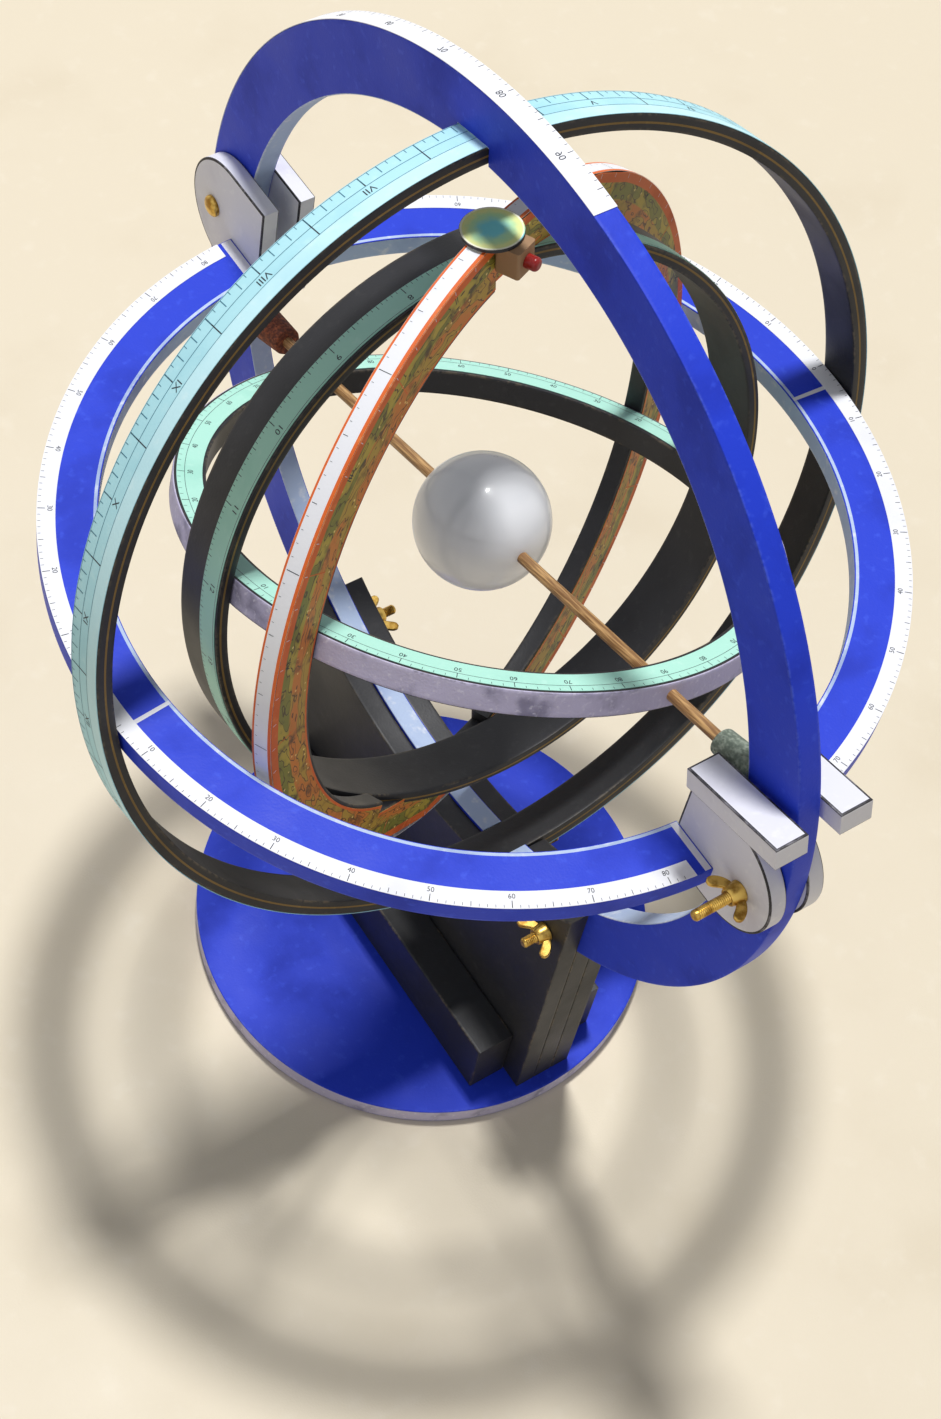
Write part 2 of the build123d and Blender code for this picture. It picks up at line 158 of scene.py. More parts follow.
def grid_patch(points: Array, uv: Array, edge: Array, finish: Sequence[int], round_u: bool, round_v: bool) -> Patch:
    """Makes a patch of quads over a grid of points.

    Args:
        points: grid of shape (n, m, 3).
        uv: UV grid of shape (n + 1, m + 1, 2), one more each way so that a closed grid has no seam jump.
        edge: how much of a worn edge each of the m rows is, from 0 to 1.
        finish: finish number of each face row, m of them.
        round_u: whether the grid closes from its last column to its first.
        round_v: whether the grid closes from its last row to its first.

    Returns:
        The patch.
    """
    n, m = points.shape[:2]
    i, j = np.meshgrid(np.arange(n if round_u else n - 1), np.arange(m if round_v else m - 1), indexing="ij")
    i, j = i.ravel(), j.ravel()
    i2, j2 = (i + 1) % n, (j + 1) % m
    quads = np.stack([i * m + j, i2 * m + j, i2 * m + j2, i * m + j2], axis=1)
    corners = np.stack([uv[i, j], uv[i + 1, j], uv[i + 1, j + 1], uv[i, j + 1]], axis=1)
    numbers = np.asarray(finish)[j]
    edges = np.broadcast_to(np.asarray(edge, dtype=float), (n, m)).reshape(-1)
    return Patch(points.reshape(-1, 3), quads.tolist(), numbers.tolist(), corners.tolist(), edges)


def cap_patch(loop: Array, uv: Array, finish: int) -> Patch:
    """Makes one many-sided face over a closed loop of points, with its UV."""
    count = len(loop)
    return Patch(loop, [list(range(count))], [finish], [uv.tolist()], np.zeros(count))


def joined(patches: Sequence[Patch]) -> Patch:
    """Puts patches after one another in one patch."""
    points, faces, finish, corner_uv, edge, start = [], [], [], [], [], 0
    for patch in patches:
        points.append(patch.points)
        faces += [[corner + start for corner in face] for face in patch.faces]
        finish += patch.finish
        corner_uv += patch.corner_uv
        edge.append(patch.edge)
        start += len(patch.points)
    return Patch(np.concatenate(points), faces, finish, corner_uv, np.concatenate(edge))


MERGE_DISTANCE = 0.002 * MM


def make_piece(
    name: str,
    patches: Sequence[Patch],
    materials: Sequence[Material],
    body: str,
    replaced: Sequence[str] = (),
    sharp_angle: float = 35.0,
) -> bpy.types.Object:
    """Makes a mesh piece and hands it to its body.

    Args:
        name: the piece's name.
        patches: its surfaces.
        materials: its materials, in the order of the patches' finish numbers.
        body: the CAD body that it moves with.
        replaced: the CAD nodes that it stands for.
        sharp_angle: edges that turn by more than this many degrees stay sharp.

    Returns:
        The new object.
    """
    whole = joined(patches)
    mesh = bpy.data.meshes.new(name)
    mesh.from_pydata(whole.points.tolist(), [], whole.faces)
    mesh.polygons.foreach_set("material_index", np.array(whole.finish, dtype=np.int32))
    mesh.polygons.foreach_set("use_smooth", np.ones(len(whole.faces), dtype=bool))
    uv_map = mesh.uv_layers.new(name="UVMap")
    flat_uv = np.array([value for face in whole.corner_uv for corner in face for value in corner], dtype=np.float32)
    uv_map.data.foreach_set("uv", flat_uv)
    worn = mesh.attributes.new("edge", "FLOAT", "POINT")
    worn.data.foreach_set("value", whole.edge.astype(np.float32))
    for material in materials:
        mesh.materials.append(material)
    mesh.update()
    tidy_mesh(mesh)
    mesh.set_sharp_from_angle(angle=math.radians(sharp_angle))
    piece = bpy.data.objects.new(name, mesh)
    bpy.context.scene.collection.objects.link(piece)
    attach(piece, body)
    if replaced:
        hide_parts(*replaced)
    log.info("%s: %d faces on %s", name, len(mesh.polygons), body)
    return piece


def tidy_mesh(mesh: bpy.types.Mesh) -> None:
    """Merges points that lie together and turns the faces outwards."""
    import bmesh

    work = bmesh.new()
    work.from_mesh(mesh)
    bmesh.ops.remove_doubles(work, verts=work.verts, dist=MERGE_DISTANCE)
    bmesh.ops.recalc_face_normals(work, faces=work.faces)
    work.to_mesh(mesh)
    work.free()


class Side(Enum):
    """The four sides of a ring's section."""

    BELOW = 0
    OUTSIDE = 1
    ABOVE = 2
    INSIDE = 3


@dataclass
class Section:
    """A ring's section: from its inner to its outer radius and from its low to its high face.

    A point's radius is held as an offset from the inner or from the outer radius, so that a notch
    can change the inner radius with the angle and leave the rounded corners as they are.
    """

    inner: float
    outer: float
    low: float
    high: float
    bevel: float = 0.5 * MM
    support: float = 1.6 * MM
    finishes: dict = field(default_factory=dict)
    bands: dict = field(default_factory=dict)

    def walk(self) -> tuple[Array, Array, Array, Array, list]:
        """Walks round the section, along each side and over each rounded corner.

        Returns:
            Offsets in radius, which of them start from the outer radius, heights, edge wear and
            the finish of the face that follows each point.
        """
        corner_angles = np.radians([0.0, 45.0, 90.0])
        thin = min(self.outer - self.inner, self.high - self.low)
        bevel = min(self.bevel, thin * 0.3)
        support = min(self.support, thin * 0.45)
        middle = (self.inner + self.outer) / 2
        rows = []
        corners = {
            Side.BELOW: (self.outer, self.low, 270.0),
            Side.OUTSIDE: (self.outer, self.high, 0.0),
            Side.ABOVE: (self.inner, self.high, 90.0),
            Side.INSIDE: (self.inner, self.low, 180.0),
        }
        starts = {
            Side.BELOW: (self.inner, self.low, 1, 0),
            Side.OUTSIDE: (self.outer, self.low, 0, 1),
            Side.ABOVE: (self.outer, self.high, -1, 0),
            Side.INSIDE: (self.inner, self.high, 0, -1),
        }
        for side in Side:
            start_r, start_h, step_r, step_h = starts[side]
            length = abs(step_r) * (self.outer - self.inner) + abs(step_h) * (self.high - self.low)
            finish = self.finishes.get(side, 0)
            edge_finish = self.finishes.get("edge", finish)
            cuts = self.bands.get(side, [])
            order = lambda stop: stop[0]
            stops = sorted([(support, None), *cuts, (length - support, None)], key=order)
            current = finish
            for number, (along, change) in enumerate(stops):
                current = current if change is None else change
                rows.append((start_r + step_r * along, start_h + step_h * along, 0.0, current))
            turn_r, turn_h, turn_from = corners[side]
            inward_r = -bevel if turn_r == self.outer else bevel
            inward_h = bevel if turn_h == self.low else -bevel
            for number, angle in enumerate(corner_angles):
                around = math.radians(turn_from) + angle
                r = turn_r + inward_r + bevel * math.cos(around)
                h = turn_h + inward_h + bevel * math.sin(around)
                rows.append((r, h, 1.0, edge_finish))
        following = self.finishes
        numbers = [row[3] for row in rows]
        for index, row in enumerate(rows):
            last_of_corner = row[2] == 1.0 and rows[(index + 1) % len(rows)][2] == 0.0
            if last_of_corner:
                numbers[index] = self._side_after(index, rows, following)
        r = np.array([row[0] for row in rows])
        from_outer = r > middle
        offsets = np.where(from_outer, r - self.outer, r - self.inner)
        return offsets, from_outer, np.array([row[1] for row in rows]), np.array([row[2] for row in rows]), numbers

    def _side_after(self, index: int, rows: Sequence[tuple], finishes: dict) -> int:
        """Returns the finish of the flat face that follows a corner."""
        return rows[(index + 1) % len(rows)][3] if not self._banded(index, rows) else finishes.get(
            self._side_of(index, rows), 0
        )

    def _side_of(self, index: int, rows: Sequence[tuple]) -> Side:
        """Returns the side that the point after a corner lies on."""
        corner_count = sum(1 for row in rows[: index + 1] if row[2] == 1.0) // 3
        return list(Side)[corner_count % 4]

    def _banded(self, index: int, rows: Sequence[tuple]) -> bool:
        """Says whether the side after a corner has bands of its own."""
        return bool(self.bands.get(self._side_of(index, rows)))


def ring_patches(axes: Axes, section: Section, angles: Array, inner: Optional[Array], closed: bool) -> list:
    """Carries a section round a ring: point (i, j) lies at radius R(i, j), angle(i, j) and height(j).

    Args:
        axes: the ring's axes.
        section: the ring's section.
        angles: angles of shape (n,), or (n, m) where the ring's ends aren't radial.
        inner: inner radius at each angle, or None where it is the same all round.
        closed: whether the ring goes all the way round.

    Returns:
        The ring's patch, with a cap on each end of an open ring.
    """
    offsets, from_outer, heights, edge, finish = section.walk()
    if angles.ndim == 1:
        angles = np.repeat(angles[:, None], len(offsets), axis=1)
    inner_radius = np.full(len(angles), section.inner) if inner is None else inner
    radius = np.where(from_outer[None, :], section.outer, inner_radius[:, None]) + offsets[None, :]
    points = axes.polar(radius, angles, np.broadcast_to(heights, radius.shape))
    run = np.concatenate([[0.0], np.cumsum(np.hypot(np.diff(offsets), np.diff(heights)))])
    run = np.append(run, run[-1] + section.support)
    turns = np.append(angles[:, 0], angles[0, 0] + 2 * math.pi if closed else angles[-1, 0])
    uv = np.stack(np.meshgrid(turns * section.outer, run, indexing="ij"), axis=-1)
    patches = [grid_patch(points, uv, edge, finish, closed, True)]
    if not closed:
        end_uv = np.stack([offsets, heights], axis=1)
        end_finish = section.finishes.get("end", section.finishes.get(Side.OUTSIDE, 0))
        patches.append(cap_patch(points[0], end_uv, end_finish))
        patches.append(cap_patch(points[-1][::-1], end_uv[::-1], end_finish))
    return patches


def full_turn(count: int = 288) -> Array:
    """Returns the angles of a closed ring."""
    return np.linspace(0.0, 2 * math.pi, count, endpoint=False)


def notched_turn(notches: Sequence[tuple], inner: float, notch_radius: float, count: int = 288) -> tuple[Array, Array]:
    """Angles of a closed ring and its inner radius at each, stepped at the walls of its notches.

    Args:
        notches: first and last angle of each notch.
        inner: inner radius of the ring.
        notch_radius: radius that the notches reach.
        count: number of angles apart from the notches' own.

    Returns:
        The angles and the inner radii.
    """
    angles, radii = [], []
    for angle in full_turn(count):
        if not any(first - 0.002 < angle < last + 0.002 for first, last in notches):
            angles.append(angle)
            radii.append(inner)
    hair = 1e-5
    for first, last in notches:
        for angle, radius in (
            (first - hair, inner),
            (first, notch_radius),
            ((first + last) / 2, notch_radius),
            (last, notch_radius),
            (last + hair, inner),
        ):
            angles.append(angle)
            radii.append(radius)
    order = np.argsort(angles)
    return np.array(angles)[order], np.array(radii)[order]


def offset_outline(outline: Array, inset: float) -> Array:
    """Moves a closed outline inwards: each corner goes along the mean of its two edges' normals."""
    before = outline - np.roll(outline, 1, axis=0)
    after = np.roll(outline, -1, axis=0) - outline
    normal_a = np.stack([-before[:, 1], before[:, 0]], axis=1)
    normal_b = np.stack([-after[:, 1], after[:, 0]], axis=1)
    normal_a /= np.linalg.norm(normal_a, axis=1, keepdims=True)
    normal_b /= np.linalg.norm(normal_b, axis=1, keepdims=True)
    mean = normal_a + normal_b
    mean /= np.maximum((mean * normal_a).sum(axis=1, keepdims=True), 0.3)
    return outline + inset * mean


@dataclass
class Plate:
    """A board cut to an outline, counter-clockwise in the plane of its axes, with rounded edges."""

    axes: Axes
    outline: Array
    low: float
    high: float
    bevel: float = 0.5 * MM
    support: float = 1.4 * MM
    face: int = 0
    side: int = 0
    edge: int = 0
    line: float = 0.0

    def patches(self) -> list:
        """Stacks inset copies of the outline from the low face to the high one and caps both ends."""
        turn = np.radians([0.0, 45.0, 90.0])
        support = min(self.support, (self.high - self.low) * 0.4)
        inset = support + self.line
        lined = self.line > 0
        rows = [(inset, self.low, 0.0, self.face)]
        if lined:
            rows.append((self.bevel + self.line, self.low, 0.0, self.edge))
        for angle in turn:
            rows.append(
                (self.bevel * (1 - math.sin(angle)), self.low + self.bevel * (1 - math.cos(angle)), 1.0, self.edge)
            )
        rows[-1] = (rows[-1][0], rows[-1][1], 1.0, self.side)
        rows.append((0.0, self.low + support, 0.0, self.side))
        rows.append((0.0, self.high - support, 0.0, self.side))
        for angle in turn:
            rows.append(
                (self.bevel * (1 - math.cos(angle)), self.high - self.bevel * (1 - math.sin(angle)), 1.0, self.edge)
            )
        rows[-1] = (rows[-1][0], rows[-1][1], 1.0, self.edge if lined else self.face)
        if lined:
            rows.append((self.bevel + self.line, self.high, 0.0, self.face))
        rows.append((inset, self.high, 0.0, self.face))
        loops = [offset_outline(self.outline, row[0]) for row in rows]
        heights = np.array([row[1] for row in rows])
        points = np.stack(
            [self.axes.flat(loop[:, 0], loop[:, 1], np.full(len(loop), h)) for loop, h in zip(loops, heights)], axis=1
        )
        steps = np.linalg.norm(np.roll(self.outline, -1, axis=0) - self.outline, axis=1)
        run = np.concatenate([[0.0], np.cumsum(steps)])
        rise = np.append(heights, heights[-1])
        uv = np.stack(np.meshgrid(run, rise, indexing="ij"), axis=-1)
        wall = grid_patch(points, uv, np.array([row[2] for row in rows]), [row[3] for row in rows], True, False)
        return [
            wall,
            cap_patch(points[::-1, 0], loops[0][::-1], self.face),
            cap_patch(points[:, -1], loops[-1], self.face),
        ]


def lathe_patches(axes: Axes, profile: Array, finish: Sequence[int], count: int = 64) -> list:
    """Turns a profile of (radius, height) points about the axes' normal and caps its two ends.

    Args:
        axes: the axes whose normal is the turning axis.
        profile: the profile's points, from one end to the other.
        finish: finish number of the face after each point.
        count: number of steps round the axis.

    Returns:
        The surface's patches.
    """
    angles = full_turn(count)
    points = axes.polar(profile[None, :, 0], angles[:, None], profile[None, :, 1])
    run = np.concatenate([[0.0], np.cumsum(np.linalg.norm(np.diff(profile, axis=0), axis=1))])
    run = np.append(run, run[-1])
    widest = profile[:, 0].max()
    uv = np.stack(np.meshgrid(np.append(angles, 2 * math.pi) * widest, run, indexing="ij"), axis=-1)
    wall = grid_patch(points, uv, np.zeros(len(profile)), list(finish), True, False)
    round_uv = np.stack([np.cos(angles), np.sin(angles)], axis=1)
    return [
        wall,
        cap_patch(points[::-1, 0], round_uv[::-1] * profile[0, 0], finish[0]),
        cap_patch(points[:, -1], round_uv * profile[-1, 0], finish[-1]),
    ]


# Finishes


class Nodes:
    """A short way to write a node tree."""

    def __init__(self, tree: bpy.types.NodeTree) -> None:
        """Keeps the tree that nodes are added to."""
        self.tree = tree

    def add(self, kind: str, inputs: Optional[dict] = None, **settings: object) -> Node:
        """Adds a node, sets its settings, and sets or links its inputs.

        Args:
            kind: the node's type.
            inputs: for each input, a value or the output socket that feeds it.
            settings: the node's own settings.

        Returns:
            The node.
        """
        node = self.tree.nodes.new(kind)
        for name, value in settings.items():
            setattr(node, name, value)
        for name, value in (inputs or {}).items():
            socket = node.inputs[name]
            if isinstance(value, bpy.types.NodeSocket):
                self.tree.links.new(value, socket)
            else:
                socket.default_value = value
        return node

    def mix(self, factor: object, first: object, second: object, blend: str = "MIX") -> bpy.types.NodeSocket:
        """Mixes two colours and returns the result's socket."""
        node = self.add("ShaderNodeMix", data_type="RGBA", blend_type=blend)
        for socket, value in ((node.inputs[0], factor), (node.inputs[6], first), (node.inputs[7], second)):
            if isinstance(value, bpy.types.NodeSocket):
                self.tree.links.new(value, socket)
            else:
                socket.default_value = value
        return node.outputs[2]

    def ramp(self, value: bpy.types.NodeSocket, low: float, high: float) -> bpy.types.NodeSocket:
        """Stretches the value so that low becomes 0 and high becomes 1."""
        node = self.add(
            "ShaderNodeMapRange", {"Value": value, "From Min": low, "From Max": high}, interpolation_type="SMOOTHSTEP"
        )
        return node.outputs["Result"]

    def maths(self, operation: str, first: object, second: object) -> bpy.types.NodeSocket:
        """Does one sum on two values and returns the result's socket."""
        return self.add("ShaderNodeMath", {0: first, 1: second}, operation=operation).outputs[0]


def effect_group(name: str, inputs: Sequence[tuple], outputs: Sequence[tuple]) -> tuple:
    """Makes an empty shader node group with named sockets.

    Args:
        name: the group's name.
        inputs: name, socket type and default value of each input.
        outputs: name and socket type of each output.

    Returns:
        The tree, its node writer, its input node and its output node.
    """
    tree = bpy.data.node_groups.new(name, "ShaderNodeTree")
    for label, kind, value in inputs:
        socket = tree.interface.new_socket(label, in_out="INPUT", socket_type=kind)
        if value is not None:
            socket.default_value = value
    for label, kind in outputs:
        tree.interface.new_socket(label, in_out="OUTPUT", socket_type=kind)
    nodes = Nodes(tree)
    return tree, nodes, nodes.add("NodeGroupInput"), nodes.add("NodeGroupOutput")


def mottle_group() -> bpy.types.NodeTree:
    """Builds the cloudy, slightly streaky unevenness of hand-brushed paint and handled paper."""
    tree, nodes, given, out = effect_group(
        "Hand brushed mottling",
        [
            ("Vector", "NodeSocketVector", None),
            ("Colour", "NodeSocketColor", (0.5, 0.5, 0.5, 1)),
            ("Dark", "NodeSocketColor", (0.3, 0.3, 0.3, 1)),
            ("Pale", "NodeSocketColor", (0.7, 0.7, 0.7, 1)),
            ("Cloud Scale", "NodeSocketFloat", 30.0),
            ("Amount", "NodeSocketFloat", 0.4),
        ],
        [("Colour", "NodeSocketColor"), ("Cloud", "NodeSocketFloat")],
    )
    cloud = nodes.add(
        "ShaderNodeTexNoise", {"Vector": given.outputs["Vector"], "Scale": given.outputs["Cloud Scale"], "Detail": 5.0}
    ).outputs[0]
    finer = nodes.maths("MULTIPLY", given.outputs["Cloud Scale"], 7.0)
    speck = nodes.add(
        "ShaderNodeTexNoise", {"Vector": given.outputs["Vector"], "Scale": finer, "Detail": 3.0}
    ).outputs[0]
    darker = nodes.maths("MULTIPLY", nodes.ramp(cloud, 0.5, 0.72), given.outputs["Amount"])
    paler = nodes.maths("MULTIPLY", nodes.ramp(speck, 0.55, 0.8), given.outputs["Amount"])
    shaded = nodes.mix(darker, given.outputs["Colour"], given.outputs["Dark"])
    tree.links.new(nodes.mix(paler, shaded, given.outputs["Pale"]), out.inputs["Colour"])
    tree.links.new(cloud, out.inputs["Cloud"])
    return tree


def wear_group() -> bpy.types.NodeTree:
    """Builds broken wear along cut edges, from the mesh's edge attribute and two sizes of noise."""
    tree, nodes, given, out = effect_group(
        "Edge wear",
        [
            ("Vector", "NodeSocketVector", None),
            ("Edge", "NodeSocketFloat", 0.0),
            ("Amount", "NodeSocketFloat", 0.5),
        ],
        [("Mask", "NodeSocketFloat")],
    )
    broad = nodes.add("ShaderNodeTexNoise", {"Vector": given.outputs["Vector"], "Scale": 55.0, "Detail": 3.0}).outputs[0]
    fine = nodes.add("ShaderNodeTexNoise", {"Vector": given.outputs["Vector"], "Scale": 420.0, "Detail": 4.0}).outputs[0]
    patchy = nodes.maths("MULTIPLY", nodes.ramp(broad, 0.42, 0.62), nodes.ramp(fine, 0.38, 0.6))
    near = nodes.maths("POWER", given.outputs["Edge"], 2.0)
    mask = nodes.maths("MULTIPLY", nodes.maths("MULTIPLY", patchy, near), given.outputs["Amount"])
    tree.links.new(mask, out.inputs["Mask"])
    return tree


def grain_group() -> bpy.types.NodeTree:
    """Builds the small relief of painted or printed paper: fibres, brush marks and shallow waves."""
    tree, nodes, given, out = effect_group(
        "Paper grain",
        [
            ("Vector", "NodeSocketVector", None),
            ("Grain Scale", "NodeSocketFloat", 900.0),
            ("Strength", "NodeSocketFloat", 0.2),
            ("Wave Strength", "NodeSocketFloat", 0.1),
        ],
        [("Normal", "NodeSocketVector")],
    )
    fibre = nodes.add(
        "ShaderNodeTexNoise", {"Vector": given.outputs["Vector"], "Scale": given.outputs["Grain Scale"], "Detail": 4.0}
    ).outputs[0]
    wave = nodes.add("ShaderNodeTexNoise", {"Vector": given.outputs["Vector"], "Scale": 38.0, "Detail": 2.0}).outputs[0]
    broad = nodes.add(
        "ShaderNodeBump", {"Height": wave, "Strength": given.outputs["Wave Strength"], "Distance": 0.002}
    ).outputs[0]
    bump = nodes.add(
        "ShaderNodeBump",
        {"Height": fibre, "Strength": given.outputs["Strength"], "Distance": 0.0003, "Normal": broad},
    ).outputs[0]
    tree.links.new(bump, out.inputs["Normal"])
    return tree


class Effects:
    """The node groups that the finishes share, each built once."""

    def __init__(self) -> None:
        """Builds the groups."""
        self.mottle = mottle_group()
        self.wear = wear_group()
        self.grain = grain_group()


@dataclass(frozen=True)
class BoardFinish:
    """Painted or printed board and paper."""

    name: str
    colour: tuple
    dark: tuple
    pale: tuple
    worn: tuple
    roughness: float = 0.55
    mottling: float = 0.35
    cloud_scale: float = 30.0
    wear: float = 0.6
    grain: float = 0.25
    wave: float = 0.12
    grain_scale: float = 900.0
    coat: float = 0.0
    coat_roughness: float = 0.25
    shine: float = 0.4

    def material(self, effects: Effects) -> Material:
        """Builds the material on Object coordinates.

        Args:
            effects: the shared node groups.

        Returns:
            The material.
        """
        made = bpy.data.materials.new(self.name)
        made.use_nodes = True
        tree = made.node_tree
        nodes = Nodes(tree)
        shader = tree.nodes["Principled BSDF"]
        place = nodes.add("ShaderNodeTexCoord").outputs["Object"]
        edge = nodes.add("ShaderNodeAttribute", attribute_name="edge").outputs["Fac"]
        mottle = nodes.add("ShaderNodeGroup", node_tree=effects.mottle)
        for label, value in (
            ("Colour", self.colour),
            ("Dark", self.dark),
            ("Pale", self.pale),
            ("Cloud Scale", self.cloud_scale),
            ("Amount", self.mottling),
        ):
            mottle.inputs[label].default_value = value
        tree.links.new(place, mottle.inputs["Vector"])
        wear = nodes.add("ShaderNodeGroup", node_tree=effects.wear)
        wear.inputs["Amount"].default_value = self.wear
        tree.links.new(place, wear.inputs["Vector"])
        tree.links.new(edge, wear.inputs["Edge"])
        tree.links.new(nodes.mix(wear.outputs["Mask"], mottle.outputs["Colour"], self.worn), shader.inputs["Base Color"])
        cloud = nodes.add(
            "ShaderNodeMapRange",
            {
                "Value": mottle.outputs["Cloud"],
                "From Min": 0.3,
                "From Max": 0.7,
                "To Min": self.roughness - 0.07,
                "To Max": self.roughness + 0.09,
            },
        )
        tree.links.new(cloud.outputs["Result"], shader.inputs["Roughness"])
        grain = nodes.add("ShaderNodeGroup", node_tree=effects.grain)
        grain.inputs["Grain Scale"].default_value = self.grain_scale
        grain.inputs["Strength"].default_value = self.grain
        grain.inputs["Wave Strength"].default_value = self.wave
        tree.links.new(place, grain.inputs["Vector"])
        tree.links.new(grain.outputs["Normal"], shader.inputs["Normal"])
        shader.inputs["Coat Weight"].default_value = self.coat
        shader.inputs["Coat Roughness"].default_value = self.coat_roughness
        shader.inputs["Specular IOR Level"].default_value = self.shine
        return made


@dataclass(frozen=True)
class WoodFinish:
    """Thin turned wood or cork: long grain along the piece or speckled grains."""

    name: str
    colour: tuple
    dark: tuple
    roughness: float
    stretch: tuple
    scale: float
    bump: float

    def material(self, effects: Effects) -> Material:
        """Builds the material on Object coordinates, stretched along the grain.

        Args:
            effects: the shared node groups.

        Returns:
            The material.
        """
        made = bpy.data.materials.new(self.name)
        made.use_nodes = True
        tree = made.node_tree
        nodes = Nodes(tree)
        shader = tree.nodes["Principled BSDF"]
        place = nodes.add("ShaderNodeTexCoord").outputs["UV"]
        turned = nodes.add("ShaderNodeMapping", {"Vector": place, "Scale": self.stretch}).outputs[0]
        streak = nodes.add("ShaderNodeTexNoise", {"Vector": turned, "Scale": self.scale, "Detail": 6.0}).outputs[0]
        flecks = nodes.add("ShaderNodeTexVoronoi", {"Vector": turned, "Scale": self.scale * 1.7}).outputs["Distance"]
        mask = nodes.maths("MULTIPLY", nodes.ramp(streak, 0.35, 0.7), nodes.ramp(flecks, 0.05, 0.6))
        tree.links.new(nodes.mix(mask, self.dark, self.colour), shader.inputs["Base Color"])
        bump = nodes.add("ShaderNodeBump", {"Height": mask, "Strength": self.bump, "Distance": 0.0004})
        tree.links.new(bump.outputs[0], shader.inputs["Normal"])
        shader.inputs["Roughness"].default_value = self.roughness
        return made


@dataclass(frozen=True)
class MetalFinish:
    """Cast or turned metal with faint scratches and tarnish in patches."""

    name: str
    colour: tuple
    tarnish: tuple
    roughness: float

    def material(self, effects: Effects) -> Material:
        """Builds the material on Object coordinates.

        Args:
            effects: the shared node groups.

        Returns:
            The material.
        """
        made = bpy.data.materials.new(self.name)
        made.use_nodes = True
        tree = made.node_tree
        nodes = Nodes(tree)
        shader = tree.nodes["Principled BSDF"]
        place = nodes.add("ShaderNodeTexCoord").outputs["Object"]
        cloud = nodes.add("ShaderNodeTexNoise", {"Vector": place, "Scale": 260.0, "Detail": 5.0}).outputs[0]
        mask = nodes.ramp(cloud, 0.42, 0.68)
        tree.links.new(nodes.mix(mask, self.colour, self.tarnish), shader.inputs["Base Color"])
        rough = nodes.add(
            "ShaderNodeMapRange",
            {"Value": cloud, "To Min": self.roughness - 0.06, "To Max": self.roughness + 0.14},
        )
        tree.links.new(rough.outputs["Result"], shader.inputs["Roughness"])
        scratch = nodes.add("ShaderNodeTexNoise", {"Vector": place, "Scale": 1500.0, "Detail": 2.0}).outputs[0]
        bump = nodes.add("ShaderNodeBump", {"Height": scratch, "Strength": 0.15, "Distance": 0.0001})
        tree.links.new(bump.outputs[0], shader.inputs["Normal"])
        shader.inputs["Metallic"].default_value = 1.0
        return made


@dataclass(frozen=True)
class ChartFinish:
    """The ecliptic chart's print: olive and ochre fields, brown contour drawing and pale dots."""

    name: str
    ground: tuple
    ochre: tuple
    brown: tuple
    star: tuple

    def material(self, effects: Effects) -> Material:
        """Builds the material on the ring's UV, in metres round and across the ring.

        Args:
            effects: the shared node groups.

        Returns:
            The material.
        """
        made = bpy.data.materials.new(self.name)
        made.use_nodes = True
        tree = made.node_tree
        nodes = Nodes(tree)
        shader = tree.nodes["Principled BSDF"]
        uv = nodes.add("ShaderNodeTexCoord").outputs["UV"]
        flow = nodes.add("ShaderNodeMapping", {"Vector": uv, "Scale": (0.4, 1.0, 1.0)}).outputs[0]
        field_noise = nodes.add("ShaderNodeTexNoise", {"Vector": flow, "Scale": 105.0, "Detail": 2.0}).outputs[0]
        cloud = nodes.add("ShaderNodeTexNoise", {"Vector": uv, "Scale": 120.0, "Detail": 4.0}).outputs[0]
        filled = nodes.mix(nodes.ramp(field_noise, 0.46, 0.56), self.ground, self.ochre)
        shaded = nodes.mix(nodes.ramp(cloud, 0.5, 0.75), filled, self.brown)
        contour = nodes.maths("FRACT", nodes.maths("MULTIPLY", field_noise, 9.0), 0.0)
        away = nodes.maths("ABSOLUTE", nodes.maths("SUBTRACT", contour, 0.5), 0.0)
        drawn = nodes.mix(nodes.ramp(away, 0.04, 0.1), self.brown, shaded)
        stars = nodes.add("ShaderNodeTexVoronoi", {"Vector": uv, "Scale": 190.0}).outputs["Distance"]
        tree.links.new(nodes.mix(nodes.ramp(stars, 0.09, 0.14), self.star, drawn), shader.inputs["Base Color"])
        grain = nodes.add("ShaderNodeGroup", node_tree=effects.grain)
        grain.inputs["Strength"].default_value = 0.2
        tree.links.new(nodes.add("ShaderNodeTexCoord").outputs["Object"], grain.inputs["Vector"])
        tree.links.new(grain.outputs["Normal"], shader.inputs["Normal"])
        shader.inputs["Roughness"].default_value = 0.5
        return made


